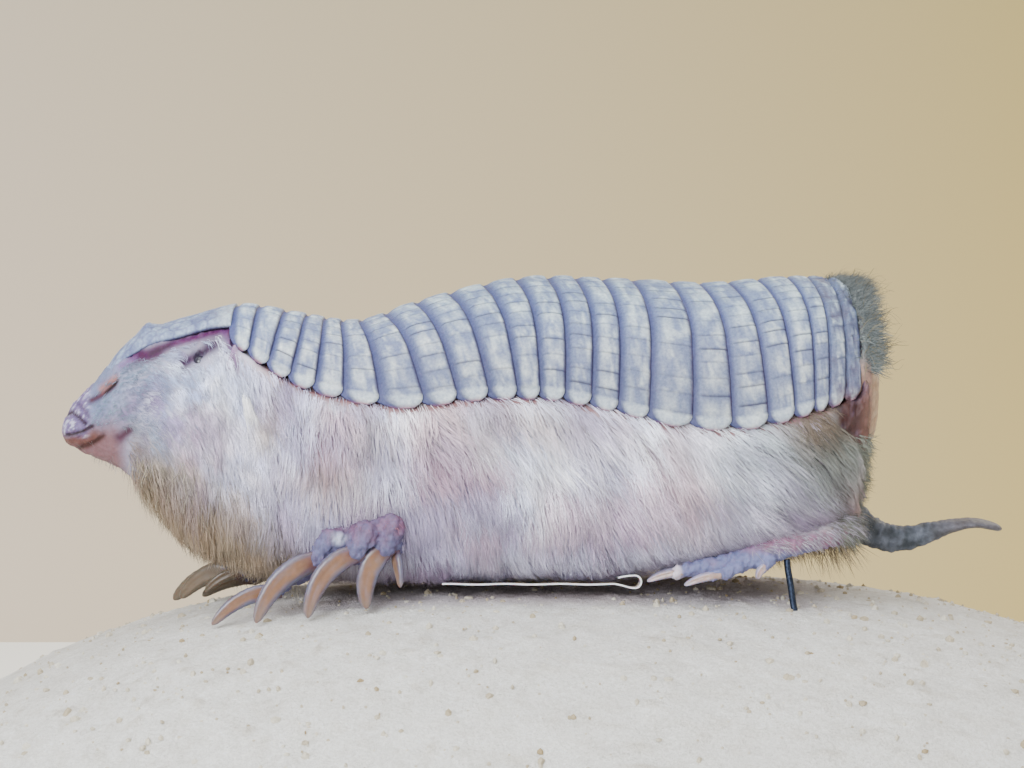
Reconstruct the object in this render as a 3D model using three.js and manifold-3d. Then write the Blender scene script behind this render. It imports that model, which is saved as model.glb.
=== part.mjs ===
// A pink fairy armadillo (Chlamyphorus truncatus), mounted life size on its display mound.
// Millimetres, +Z up. The head points along -X and the animal's left side faces -Y.
// The origin is the middle of the mound's flat underside.
import * as THREE from "three";
import Module from "manifold-3d";
import { mergeVertices } from "three/addons/utils/BufferGeometryUtils.js";

const wasm = await Module();
wasm.setup();

// ---- Driving dimensions ----

const gap = 0.3; // clear space between pieces that touch

// The body's outline, out to the shell and the tips of the coat: place along X, then the heights of
// the back, of the widest level and of the belly, the half width there, and how square the belly is.
const outline = {
  noseTip: [-78.0, 57.0, 55.7, 54.4, 1.7, 2.0],
  nose: [-76.6, 59.0, 56.0, 53.5, 3.1, 2.1],
  muzzle: [-73.0, 63.0, 57.0, 51.7, 4.5, 2.2],
  snout: [-69.5, 67.3, 58.2, 49.9, 6.5, 2.2],
  brow: [-66.0, 70.2, 58.6, 46.1, 8.7, 2.2],
  eyes: [-60.0, 72.0, 57.5, 40.3, 12.2, 2.3],
  nape: [-52.0, 74.0, 55.8, 36.2, 15.7, 2.5],
  neck: [-43.5, 72.8, 54.4, 34.1, 17.8, 2.8],
  dip: [-35.5, 71.7, 53.8, 33.7, 19.0, 3.1],
  shoulder: [-26.0, 74.6, 53.6, 34.0, 20.2, 3.4],
  ribs: [-12.0, 77.8, 53.8, 34.6, 21.8, 3.6],
  waist: [2.0, 77.7, 54.0, 35.0, 22.6, 3.6],
  haunch: [16.0, 77.1, 54.0, 36.4, 22.8, 3.3],
  hip: [28.0, 78.0, 54.2, 38.2, 22.0, 3.0],
  rump: [37.0, 77.5, 54.4, 43.6, 20.0, 2.8],
};
const roundBack = 2.1; // how square a section is above its widest level, 2 being an ellipse
const bodySides = 24;

// Where the flesh is parted along X.
const partings = { noseTip: -78.0, neck: -51.5, chest: -37.0, belly: -3.0, rump: 22.0, end: 36.0 };

const shell = {
  front: -52.6, // along the back
  rear: 36.1,
  crest: 1.3, // thickness at a band's rear edge
  valley: 0.75, // and at its front edge, which lies under the band ahead
  tab: 2.0, // how far up a band's rounded end reaches
  steps: 8,
};
// The bands bow forward over the middle of the back, from behind the neck on and less at the rump.
const bandBow = { most: 2.6, sharpness: 8, front: -46, whole: -24, rear: 24, rearShare: 0.6 };
// The bands' widths along the back, in parts of the shell's length.
const bandWidths = [
  3.3, 3.7, 3.4, 3.0, 2.9, 3.2, 4.3, 4.8, 4.9, 5.0, 4.7, 4.6,
  4.0, 3.9, 4.4, 5.5, 4.3, 4.2, 4.2, 4.0, 2.6, 2.4, 2.1,
];
// Height of the shell's lower edge along X.
const shellEdge = [
  [-54, 70.4], [-50.5, 68.0], [-43.7, 63.7], [-35.2, 61.1], [-29, 60.2], [-17, 61.3],
  [-8, 61.4], [3, 59.3], [10, 57.7], [20, 57.4], [29, 59.6], [37, 62.4],
];

const headShield = { front: -75.4, rear: -52.7, thickness: 1.0, steps: 7, archSteps: 8 };
// How far its side edge lies below the line of the head.
const headShieldEdge = [[-76, 1.2], [-73, 1.9], [-68, 2.4], [-60, 3.5], [-52, 4.2]];

const rumpShield = {
  x: 36.9,
  z: 65.0,
  halfWidth: 17.8,
  up: 12.2,
  down: 12.4,
  bulge: 1.0,
  lean: 0.045, // how far it slants forward for each unit of height
  thickness: 1.2,
};
const rumpCoat = { x: 33.8, z: 46.6, length: 5.2, halfWidth: 13.5, halfHeight: 6.2 };

const mound = {
  halfLength: 100,
  halfWidth: 68,
  height: 33.0,
  crestX: -3,
  dropX: 24, // how far it falls away along its length, and across it
  dropY: 27.5,
  steep: 3,
  rings: 8,
  sides: 28,
};

const eye = { x: -58.3, y: 10.9, z: 66.4, radius: 0.95 };
const ear = { x: -53.0, y: 13.6, z: 66.6, thick: 0.9, out: 1.5, tall: 2.7 };

// Tail: centre line, half height and half width. The tip is a flat spatula.
const tail = [
  [36.0, 0, 43.9, 2.3, 2.5], [38.6, 0, 41.4, 2.15, 2.35], [41.4, 0, 40.1, 2.0, 2.15],
  [44.6, 0, 40.0, 1.8, 1.9], [48.0, 0, 40.9, 1.4, 1.75], [51.2, 0, 41.8, 0.95, 2.2],
  [54.2, 0, 42.2, 0.7, 2.9], [56.8, 0, 41.8, 0.6, 2.7], [58.4, 0, 41.3, 0.45, 1.4],
];

// A fore claw: the end of its digit, its tip, its depth and thickness at the root, and its bend.
// The near hand stands on the mound. The far one is held further forward, just clear of it.
const standing = (x, y) => [x, y, moundHeight(x, y) + 0.7];
const nearHand = {
  wrist: [-31.5, -13.5, 44.5],
  palm: [-35.6, -17.0, 40.6],
  palmSize: [5.0, 3.1, 3.4],
  claws: [
    { root: [-46.6, -16.8, 33.8], tip: standing(-54.4, -18.8), deep: 2.3, thick: 1.5, bend: 1.1 },
    { root: [-40.9, -19.4, 37.6], tip: standing(-48.0, -22.0), deep: 3.3, thick: 1.7, bend: 1.9 },
    { root: [-35.6, -20.8, 38.6], tip: standing(-40.8, -22.8), deep: 3.2, thick: 1.7, bend: 1.9 },
    { root: [-30.9, -19.6, 39.0], tip: standing(-32.8, -20.2), deep: 3.3, thick: 1.6, bend: 1.3 },
    { root: [-28.0, -19.2, 39.6], tip: [-28.0, -20.4, 35.6], deep: 1.3, thick: 1.0, bend: 0.4 },
  ],
};
const farHand = {
  wrist: [-43.5, 10.5, 38.5],
  palm: [-48.8, 13.8, 35.0],
  palmSize: [4.8, 3.6, 2.7],
  claws: [
    { root: [-53.2, 9.4, 33.9], tip: [-58.4, 9.0, 31.0], deep: 1.9, thick: 1.4, bend: 0.6 },
    { root: [-55.0, 12.4, 33.8], tip: [-62.6, 13.6, 29.4], deep: 3.1, thick: 1.6, bend: 1.1 },
    { root: [-55.2, 16.0, 33.2], tip: [-64.2, 17.8, 28.6], deep: 3.1, thick: 1.6, bend: 1.1 },
    { root: [-53.2, 19.0, 31.8], tip: [-60.2, 21.4, 28.7], deep: 2.4, thick: 1.4, bend: 0.7 },
    { root: [-49.6, 19.8, 32.0], tip: [-52.4, 22.0, 30.4], deep: 1.3, thick: 1.0, bend: 0.3 },
  ],
};

// The hind feet hang clear of the mound beside the belly. Each toe ends in a flat claw.
const hindFoot = {
  line: [[33.5, -13.5, 43.2], [26.0, -17.4, 41.0], [20.6, -18.2, 39.3], [15.4, -17.8, 37.6]],
  halfHeights: [2.4, 1.6, 1.4, 1.3],
  halfWidths: [2.4, 1.8, 2.4, 3.1],
  toes: [
    { bend: [13.6, -13.0, 37.3], root: [12.0, -12.4, 36.9], tip: [9.2, -12.0, 36.0], wide: 1.0 },
    { bend: [12.4, -15.0, 37.4], root: [10.4, -14.8, 36.9], tip: [6.6, -14.6, 35.9], wide: 1.3 },
    { bend: [12.2, -17.8, 37.6], root: [9.8, -18.0, 37.0], tip: [6.0, -18.2, 35.9], wide: 1.4 },
    { bend: [16.8, -19.8, 37.4], root: [15.0, -20.5, 36.9], tip: [11.0, -21.0, 35.7], wide: 1.3 },
    { bend: [22.8, -19.2, 39.0], root: [22.2, -19.4, 38.0], tip: [21.2, -19.6, 36.4], wide: 1.0 },
  ],
};

const rod = { radius: 0.45, top: [25.5, -17.4, 38.8], foot: [26.4, -18.2, 32.3] };
const strip = {
  from: -22.5,
  to: 4.4,
  y: -13.0,
  z: 34.8,
  width: 7,
  thickness: 0.5,
  foldRadius: 0.7,
  dip: 0.5,
  flap: 3.6,
};

// ---- Curves and sections ----

// A smooth function through rows of [place, value, value, ...].
function smoothRows(rows) {
  const values = rows.flatMap((row) => row.slice(1));
  const size = rows[0].length - 1;
  const curve = new THREE.CubicInterpolant(rows.map((row) => row[0]), values, size, new Float32Array(size));
  return (x) => [...curve.evaluate(THREE.MathUtils.clamp(x, rows[0][0], rows.at(-1)[0]))];
}
const bodyAt = smoothRows(Object.values(outline));
const shellEdgeAt = smoothRows(shellEdge);
const headEdgeAt = smoothRows(headShieldEdge);

const power = (value, exponent) => Math.sign(value) * Math.abs(value) ** exponent;

// A point of the body's outline at x, turned by angle from +Y over the back, grown outwards.
function bodyPoint(x, angle, grow = 0) {
  const [back, widest, belly, half, squareBelly] = bodyAt(x);
  const [c, s] = [Math.cos(angle), Math.sin(angle)];
  const square = s > 0 ? roundBack : squareBelly;
  const reach = (s > 0 ? back - widest : widest - belly) + grow;
  return new THREE.Vector3(x, (half + grow) * power(c, 2 / square), widest + reach * power(s, 2 / square));
}

// The angle above the widest level at which the outline has height z.
function angleAt(x, z) {
  const [back, widest] = bodyAt(x);
  const share = THREE.MathUtils.clamp((z - widest) / (back - widest), 0, 1);
  return Math.asin(share ** (roundBack / 2));
}

// The angle at which the shell's lower edge lies.
function shellAngle(x) {
  return angleAt(x, x < headShield.rear ? bodyAt(x)[0] - headEdgeAt(x)[0] : shellEdgeAt(x)[0]);
}

// Under the shell the flesh lies deeper, by the thickness of a band and the gap.
function fleshPoint(x, angle) {
  const roomBelow = shell.crest + 1.5 * gap;
  const edge = Math.sin(shellAngle(x));
  const covered = THREE.MathUtils.smoothstep(Math.sin(angle), 0.1 * edge, 0.76 * edge);
  const frontOfShield = THREE.MathUtils.smoothstep(x, headShield.front - 2.5, headShield.front);
  return bodyPoint(x, angle, -roomBelow * covered * frontOfShield);
}

// ---- Solids ----

function geometryFrom(points, faces) {
  const geometry = new THREE.BufferGeometry().setFromPoints(points);
  geometry.setIndex(faces.flat());
  return outward(geometry);
}

// Turns a closed geometry's faces outwards if its volume is negative.
function outward(geometry) {
  const at = geometry.attributes.position;
  const index = geometry.index.array;
  const [a, b, c] = [new THREE.Vector3(), new THREE.Vector3(), new THREE.Vector3()];
  let volume = 0;
  for (let i = 0; i < index.length; i += 3) {
    a.fromBufferAttribute(at, index[i]);
    b.fromBufferAttribute(at, index[i + 1]);
    c.fromBufferAttribute(at, index[i + 2]);
    volume += a.dot(b.cross(c));
  }
  if (volume < 0) geometry.setIndex(Array.from(index).reverse());
  return geometry;
}

// A closed body through rings of the same number of points, with a fan at each end.
function loft(rings) {
  const sides = rings[0].length;
  const points = rings.flat();
  const faces = [];
  for (let r = 0; r < rings.length - 1; r++) {
    for (let i = 0; i < sides; i++) {
      const [a, b] = [r * sides + i, r * sides + ((i + 1) % sides)];
      faces.push([a, b, b + sides], [a, b + sides, a + sides]);
    }
  }
  for (const turned of [true, false]) {
    const start = turned ? 0 : (rings.length - 1) * sides;
    const ring = turned ? rings[0] : rings.at(-1);
    const centre = ring.reduce((sum, p) => sum.add(p), new THREE.Vector3()).divideScalar(sides);
    const middle = points.push(centre) - 1;
    for (let i = 0; i < sides; i++) {
      const edge = [start + i, start + ((i + 1) % sides)];
      faces.push(turned ? [middle, edge[1], edge[0]] : [middle, edge[0], edge[1]]);
    }
  }
  return geometryFrom(points, faces);
}

// A closed plate between an outer and an inner surface, each a function of (u, v) from 0 to 1.
function plate(uSteps, vSteps, outer, inner) {
  const points = [];
  const faces = [];
  const row = vSteps + 1;
  for (const surface of [outer, inner]) {
    for (let i = 0; i <= uSteps; i++) {
      for (let j = 0; j <= vSteps; j++) points.push(surface(i / uSteps, j / vSteps));
    }
  }
  const under = points.length / 2;
  const quad = (a, b, c, d) => faces.push([a, b, c], [a, c, d]);
  for (let i = 0; i < uSteps; i++) {
    for (let j = 0; j < vSteps; j++) {
      const a = i * row + j;
      quad(a, a + row, a + row + 1, a + 1);
      quad(under + a, under + a + 1, under + a + row + 1, under + a + row);
    }
    const [near, far] = [i * row, i * row + vSteps];
    quad(near, under + near, under + near + row, near + row);
    quad(far, far + row, under + far + row, under + far);
  }
  for (let j = 0; j < vSteps; j++) {
    const last = uSteps * row + j;
    quad(j, j + 1, under + j + 1, under + j);
    quad(last, under + last, under + last + 1, last + 1);
  }
  return geometryFrom(points, faces);
}

// A tube along a smooth line with a half height and a half width at each of its points.
function tube(line, halfHeights, halfWidths, steps, sides) {
  const curve = new THREE.CatmullRomCurve3(line.map((p) => new THREE.Vector3(...p)), false, "centripetal");
  const place = line.map((_, i) => i / (line.length - 1));
  const sizeAt = smoothRows(place.map((t, i) => [t, halfHeights[i], halfWidths[i]]));
  const rings = [];
  for (let r = 0; r <= steps; r++) {
    const t = r / steps;
    const along = curve.getTangent(t);
    const side = new THREE.Vector3(0, 0, 1).cross(along).normalize();
    const up = along.clone().cross(side);
    const [high, wide] = sizeAt(t);
    rings.push(turns(sides).map((angle) => curve.getPoint(t)
      .addScaledVector(side, wide * Math.cos(angle)).addScaledVector(up, high * Math.sin(angle))));
  }
  return loft(rings);
}

const turns = (sides) => Array.from({ length: sides }, (_, i) => (2 * Math.PI * i) / sides);

function ellipsoid(centre, radii, around = 14, down = 9) {
  return new THREE.SphereGeometry(1, around, down).scale(...radii).translate(...centre);
}

function solidOf(geometry) {
  const bare = new THREE.BufferGeometry().setAttribute("position", geometry.attributes.position.clone());
  bare.setIndex(geometry.index.clone());
  const merged = mergeVertices(bare, 1e-3);
  return new wasm.Manifold(new wasm.Mesh({
    numProp: 3,
    vertProperties: merged.attributes.position.array,
    triVerts: new Uint32Array(merged.index.array),
  }));
}

const largest = (solid) => solid.decompose().reduce((a, b) => (b.volume() > a.volume() ? b : a));

// Slivers and crumbs left by joins and cuts are cleared on the way back.
function geometryOf(solid) {
  const mesh = largest(solid.simplify(0.1)).getMesh();
  return new THREE.BufferGeometry()
    .setAttribute("position", new THREE.BufferAttribute(mesh.vertProperties, 3))
    .setIndex(new THREE.BufferAttribute(mesh.triVerts, 1));
}

const joined = (geometries) => geometries.map(solidOf).reduce((all, one) => all.add(one));

// ---- The group and its finishes ----

const model = new THREE.Group();
function finish(color, roughness, metalness = 0) {
  return new THREE.MeshStandardMaterial({ color, roughness, metalness });
}
const finishes = {
  coat: finish(0xcfcbcb, 0.9),
  skin: finish(0xa99bb0, 0.7),
  shell: finish(0xb6bdca, 0.55),
  claw: finish(0xb08d78, 0.35),
  tail: finish(0x565459, 0.6),
  eye: finish(0x0c0b10, 0.15),
  mound: finish(0xdad8d2, 0.95),
  rod: finish(0x2c3442, 0.4, 0.8),
  strip: finish(0xe6e2e4, 0.4),
};

function add(name, geometry, material) {
  const mesh = new THREE.Mesh(geometry, material);
  mesh.name = name;
  model.add(mesh);
  return mesh;
}

// ---- Flesh ----

function bodyRings(from, to, steps, point = fleshPoint) {
  return Array.from({ length: steps + 1 }, (_, r) => {
    const x = THREE.MathUtils.lerp(from, to, r / steps);
    return bodyAngles(x).map((angle) => point(x, angle));
  });
}

// Angles round a section, with a corner just below the shell's lower edge on each side.
function bodyAngles(x) {
  const step = (2 * Math.PI) / bodySides;
  const corner = Math.min(0.8 * shellAngle(x), 1.4 * step);
  const quarter = bodySides / 4;
  const share = (i) => i / (quarter - 1);
  const upTo = (i) => THREE.MathUtils.lerp(corner, Math.PI / 2, share(i));
  const rise = Array.from({ length: quarter }, (_, i) => upTo(i));
  const fall = rise.slice(0, -1).reverse().map((angle) => Math.PI - angle);
  const under = Array.from({ length: 2 * quarter }, (_, i) => Math.PI + i * step);
  return [0, ...rise, ...fall, ...under];
}

// The whole body a little larger, to trim what grows out of it.
const roomPoint = (x, angle) => bodyPoint(x, angle, gap);
const bodyRoom = solidOf(loft(bodyRings(partings.noseTip, partings.end, 40, roomPoint)));

function addFlesh() {
  const eyeRooms = [-1, 1].map((side) => {
    return solidOf(ellipsoid([eye.x, side * eye.y, eye.z], Array(3).fill(eye.radius + gap), 10, 6));
  });
  const head = eyeRooms.reduce((solid, room) => solid.subtract(room),
    solidOf(loft(bodyRings(partings.noseTip, partings.neck - gap / 2, 13))));
  add("head", geometryOf(head), finishes.coat);
  add("neck", loft(bodyRings(partings.neck + gap / 2, partings.chest - gap / 2, 5)), finishes.coat);
  const stripRoom = solidOf(stripShape(gap));
  const chest = solidOf(loft(bodyRings(partings.chest + gap / 2, partings.belly - gap / 2, 7)));
  add("chest", geometryOf(chest.subtract(stripRoom)), finishes.coat);
  const belly = solidOf(loft(bodyRings(partings.belly + gap / 2, partings.rump - gap / 2, 5)));
  add("belly", geometryOf(belly.subtract(stripRoom)), finishes.coat);
  const { x, z, length, halfWidth, halfHeight } = rumpCoat;
  const rump = joined([
    loft(bodyRings(partings.rump + gap / 2, partings.end, 4)),
    ellipsoid([x, 0, z], [length, halfWidth, halfHeight], 16, 8),
  ]).subtract(solidOf(tailTube(gap)));
  add("rump", geometryOf(rump), finishes.coat);
}

function tailTube(grow) {
  const line = tail.map(([x, y, z], i) => (i === 0 ? [x - grow, y, z + grow] : [x, y, z]));
  return tube(line, tail.map((row) => row[3] + grow), tail.map((row) => row[4] + grow), 13, 10);
}

function addTail() {
  add("tail", tailTube(0), finishes.tail);
}

function addEyesAndEars() {
  for (const [name, side] of [["left", -1], ["right", 1]]) {
    const ball = ellipsoid([eye.x, side * eye.y, eye.z], Array(3).fill(eye.radius), 8, 6);
    add(`eye_${name}`, ball, finishes.eye);
    const flap = solidOf(ellipsoid([ear.x, side * ear.y, ear.z], [ear.thick, ear.out, ear.tall], 8, 6));
    add(`ear_${name}`, geometryOf(flap.subtract(bodyRoom)), finishes.skin);
  }
}

// ---- Limbs ----

// A curved claw from its root to its tip, deep and thin, arched away from the ground.
function clawShape({ root, tip, deep, thick, bend }, grow = 0, steps = 4, sides = 6) {
  const [start, end] = [new THREE.Vector3(...root), new THREE.Vector3(...tip)];
  const along = end.clone().sub(start).normalize();
  start.addScaledVector(along, -grow);
  const sideways = along.clone().cross(new THREE.Vector3(0, 0, 1)).normalize();
  const arch = sideways.clone().cross(along).normalize();
  const middle = start.clone().lerp(end, 0.45).addScaledVector(arch, 2 * bend);
  const curve = new THREE.QuadraticBezierCurve3(start, middle, end);
  const rings = [];
  for (let r = 0; r <= steps; r++) {
    const t = r / steps;
    const up = sideways.clone().cross(curve.getTangent(t)).normalize();
    const slim = 0.5 * Math.sqrt(1 - 0.94 * t ** 2.2);
    rings.push(turns(sides).map((angle) => curve.getPoint(t)
      .addScaledVector(sideways, (thick * slim + grow) * Math.cos(angle))
      .addScaledVector(up, (deep * slim + grow) * Math.sin(angle))));
  }
  return loft(rings);
}

// A digit is two tapered rods that meet at its knuckle and stop short of its claw.
function digitShape(palm, { root, tip, deep }) {
  const size = deep / 2;
  const [start, end] = [new THREE.Vector3(...root), new THREE.Vector3(...tip)];
  const back = start.clone().sub(end).normalize();
  const knuckle = start.clone().addScaledVector(back, 2.6).add(new THREE.Vector3(0.4, 0, 0.9)).toArray();
  const last = start.clone().addScaledVector(back, 0.8 * size).toArray();
  return taperedRod(palm, size + 0.4, knuckle, size + 0.3)
    .add(taperedRod(knuckle, size + 0.3, last, 0.9 * size));
}

const taperedRod = (from, fromRadius, to, toRadius) => wasm.Manifold.hull([
  wasm.Manifold.sphere(fromRadius, 12).translate(from), wasm.Manifold.sphere(toRadius, 12).translate(to),
]);

function addForeleg(name, { wrist, palm, palmSize, claws }) {
  const digits = claws.map((claw) => digitShape(palm, claw));
  const arm = taperedRod(wrist, 3.1, palm, 2.7);
  const armAndPalm = arm.add(solidOf(ellipsoid(palm, palmSize, 10, 6)));
  const whole = digits.reduce((all, one) => all.add(one), armAndPalm);
  let hand = whole.subtract(bodyRoom);
  claws.forEach((claw, i) => {
    hand = hand.subtract(solidOf(clawShape(claw, 1.2 * gap)));
    add(`foreclaw_${name}_${i + 1}`, clawShape(claw), finishes.claw);
  });
  add(`foreleg_${name}`, geometryOf(hand), finishes.skin);
}

function addHindleg(name, side) {
  const at = ([x, y, z]) => [x, -side * y, z];
  const { line, halfHeights, halfWidths, toes } = hindFoot;
  const ball = line.at(-1);
  const foot = tube(line.map(at), halfHeights, halfWidths, 6, 9);
  const digits = toes.map(({ bend, root, tip, wide }) => (
    tube([ball, bend, root, tip].map(at), [1.2, 1.05, 0.85, 0.28], [1.4, wide, 0.9 * wide, 0.28], 5, 6)
  ));
  const leg = joined([foot, ...digits]).subtract(bodyRoom);
  add(`hindleg_${name}`, geometryOf(leg), finishes.skin);
}

// ---- Shell ----

// The bands follow planes square to the back, so they lean where the back rises or falls.
function leanAt(x) {
  const reach = 5;
  return (bodyAt(x + reach)[0] - bodyAt(x - reach)[0]) / (2 * reach);
}

function bowAt(along, angle) {
  const { most, sharpness, front, whole, rear, rearShare } = bandBow;
  const begun = THREE.MathUtils.smoothstep(along, front, whole);
  const ending = THREE.MathUtils.smoothstep(along, rear, shell.rear);
  return most * begun * THREE.MathUtils.lerp(1, rearShare, ending) * Math.sin(angle) ** sharpness;
}

// A point of a band's surface: place along the back, and share of the way from edge to edge.
function shellPoint(along, share, grow) {
  const top = bodyAt(along)[0];
  let x = along;
  for (let i = 0; i < 4; i++) x = along + leanAt(along) * (top - shellEdgeAt(x)[0]);
  const low = angleAt(x, shellEdgeAt(x)[0]);
  const angle = THREE.MathUtils.lerp(low, Math.PI - low, share);
  const lean = leanAt(along) * (top - bodyPoint(along, angle).z);
  return bodyPoint(along + lean - bowAt(along, angle), angle, grow);
}

// Where the bands meet along the back.
function bandEdges() {
  const total = bandWidths.reduce((sum, width) => sum + width);
  let at = shell.front;
  return [at, ...bandWidths.map((width) => (at += (width / total) * (shell.rear - shell.front)))];
}

function addBands() {
  const edges = bandEdges();
  for (let n = 0; n < bandWidths.length; n++) {
    const [front, rear] = [edges[n] + gap / 2, edges[n + 1] - gap / 2];
    const middle = (front + rear) / 2;
    const halfArch = 0.5 * archLength(middle);
    // Places across the arch, with more of them near the rounded ends.
    const inner = 1 - shell.tab / halfArch;
    const ends = [0.7, 1];
    const across = [
      ...ends.map((e) => -(inner + (1 - inner) * e)).reverse(),
      ...Array.from({ length: shell.steps + 1 }, (_, i) => inner * ((2 * i) / shell.steps - 1)),
      ...ends.map((e) => inner + (1 - inner) * e),
    ];
    const surface = (grows) => (u, v) => {
      const place = across[Math.round(u * (across.length - 1))];
      const past = Math.max(0, (Math.abs(place) - inner) / (1 - inner));
      const narrow = Math.max(0.35, Math.sqrt(1 - past ** 2));
      const along = middle + (v - 0.5) * (rear - front) * narrow;
      return shellPoint(along, (place + 1) / 2, THREE.MathUtils.lerp(grows[0], grows[1], v));
    };
    const name = `band_${String(n + 1).padStart(2, "0")}`;
    const outside = surface([shell.valley - shell.crest, 0]);
    const inside = surface([-shell.crest, -shell.crest]);
    add(name, plate(across.length - 1, 1, outside, inside), finishes.shell);
  }
}

function archLength(along, steps = 12) {
  let length = 0;
  for (let i = 0; i < steps; i++) {
    length += shellPoint(along, i / steps, 0).distanceTo(shellPoint(along, (i + 1) / steps, 0));
  }
  return length;
}

function addHeadShield() {
  const { front, rear, thickness, steps, archSteps } = headShield;
  const surface = (grow) => (u, v) => {
    // Its front end narrows to a round point over the nose.
    const share = 2 * u - 1;
    const x = THREE.MathUtils.lerp(front + 1.8 * share ** 2, rear, v);
    const low = angleAt(x, bodyAt(x)[0] - headEdgeAt(x)[0]);
    return bodyPoint(x, THREE.MathUtils.lerp(low, Math.PI - low, u), grow);
  };
  add("head_shield", plate(archSteps, steps, surface(0), surface(-thickness)), finishes.shell);
}

function addRumpShield() {
  const { x, z, halfWidth, up, down, bulge, lean, thickness } = rumpShield;
  // A disc from its middle outwards: u turns round it and v runs to its rim.
  const rim = 20;
  const rings = 3;
  const point = (depth) => (r, angle) => {
    const height = (angle < Math.PI ? up : down) * r * power(Math.sin(angle), 0.92);
    return new THREE.Vector3(
      x + depth + bulge * (1 - r ** 2) - lean * height,
      halfWidth * r * power(Math.cos(angle), 0.92),
      z + height,
    );
  };
  const [back, front] = [point(thickness), point(0)];
  const circles = [];
  for (let r = 1; r <= rings; r++) circles.push(turns(rim).map((a) => back(r / rings, a)));
  for (let r = rings; r >= 1; r--) circles.push(turns(rim).map((a) => front(r / rings, a)));
  add("rump_shield", loft(circles), finishes.shell);
}

// ---- Mount ----

function moundHeight(x, y) {
  const { height, crestX, dropX, dropY, steep, halfWidth } = mound;
  return height - dropX * Math.abs((x - crestX) / 100) ** steep - dropY * Math.abs(y / halfWidth) ** steep;
}

function addMound() {
  const { halfLength, halfWidth, rings, sides } = mound;
  const circle = (share, lift) => turns(sides).map((angle) => {
    const x = halfLength * share * power(Math.cos(angle), 0.75);
    const y = halfWidth * share * power(Math.sin(angle), 0.75);
    return new THREE.Vector3(x, y, lift ?? Math.max(moundHeight(x, y), 2));
  });
  const shares = Array.from({ length: rings }, (_, r) => Math.sqrt((r + 1) / rings));
  const circles = [...shares.map((share) => circle(share * 0.97)), circle(1, 2), circle(1, 0)];
  add("mound", geometryOf(solidOf(loft(circles)).subtract(solidOf(rodShape(gap)))), finishes.mound);
}

function rodShape(grow) {
  const [top, foot] = [new THREE.Vector3(...rod.top), new THREE.Vector3(...rod.foot)];
  const down = foot.clone().sub(top).normalize();
  const low = foot.clone().addScaledVector(down, 4 + grow);
  const curve = new THREE.CatmullRomCurve3([top.clone().addScaledVector(down, -grow), foot, low]);
  const section = new THREE.Shape().absarc(0, 0, rod.radius + grow, 0, 2 * Math.PI);
  return withIndex(new THREE.ExtrudeGeometry(section, { steps: 5, curveSegments: 4, extrudePath: curve }));
}

function withIndex(geometry) {
  const bare = new THREE.BufferGeometry().setAttribute("position", geometry.attributes.position);
  return mergeVertices(bare, 1e-3);
}

// The strip's side, swept across it. Its end dips a little before it folds over.
function stripShape(grow) {
  const { from, to, y, z, width, thickness, foldRadius, dip, flap } = strip;
  const [outer, inner] = [foldRadius + thickness + grow, foldRadius - grow];
  const middle = foldRadius + thickness - dip;
  const side = new THREE.Shape();
  side.moveTo(from - grow, -grow);
  side.lineTo(to - 2.6, -grow);
  side.quadraticCurveTo(to - 1.2, middle - outer, to, middle - outer);
  side.absarc(to, middle, outer, -Math.PI / 2, Math.PI / 2, false);
  side.lineTo(to - flap - grow, middle + outer);
  side.lineTo(to - flap - grow, middle + inner);
  side.lineTo(to, middle + inner);
  side.absarc(to, middle, inner, Math.PI / 2, -Math.PI / 2, true);
  side.quadraticCurveTo(to - 1.2, middle - inner, to - 2.4, thickness + grow);
  side.lineTo(from - grow, thickness + grow);
  side.closePath();
  const depth = width + 2 * grow;
  return withIndex(new THREE.ExtrudeGeometry(side, { depth, curveSegments: 5, bevelEnabled: false }))
    .rotateX(Math.PI / 2)
    .translate(0, y + depth / 2, z);
}

function addRod() {
  add("support_rod", rodShape(0), finishes.rod);
}

// A thin clear strip lies under the belly, its rear end folded over in a loop.
function addStrip() {
  add("support_strip", stripShape(0), finishes.strip);
}

addMound();
addRod();
addStrip();
addFlesh();
addTail();
addEyesAndEars();
addHeadShield();
addBands();
addRumpShield();
addForeleg("left", nearHand);
addForeleg("right", farHand);
addHindleg("left", -1);
addHindleg("right", 1);

export default model;
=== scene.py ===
import math
import bpy
import numpy as np
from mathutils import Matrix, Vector, noise
from mathutils.kdtree import KDTree


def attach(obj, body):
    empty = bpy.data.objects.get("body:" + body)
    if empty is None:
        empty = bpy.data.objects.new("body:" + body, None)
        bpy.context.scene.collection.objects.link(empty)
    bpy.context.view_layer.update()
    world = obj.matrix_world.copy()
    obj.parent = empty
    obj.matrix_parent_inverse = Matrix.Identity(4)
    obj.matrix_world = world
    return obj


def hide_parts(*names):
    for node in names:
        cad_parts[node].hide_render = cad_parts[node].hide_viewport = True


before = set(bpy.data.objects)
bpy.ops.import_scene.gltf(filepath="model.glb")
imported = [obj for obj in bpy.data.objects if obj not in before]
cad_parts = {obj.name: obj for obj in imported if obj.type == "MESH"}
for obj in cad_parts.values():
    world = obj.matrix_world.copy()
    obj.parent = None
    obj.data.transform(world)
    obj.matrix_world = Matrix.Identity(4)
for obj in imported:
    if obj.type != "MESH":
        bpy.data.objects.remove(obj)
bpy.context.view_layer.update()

rng = np.random.default_rng(20)
scene = bpy.context.scene
mm = 0.001
print("frame loaded", len(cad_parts))


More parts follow.
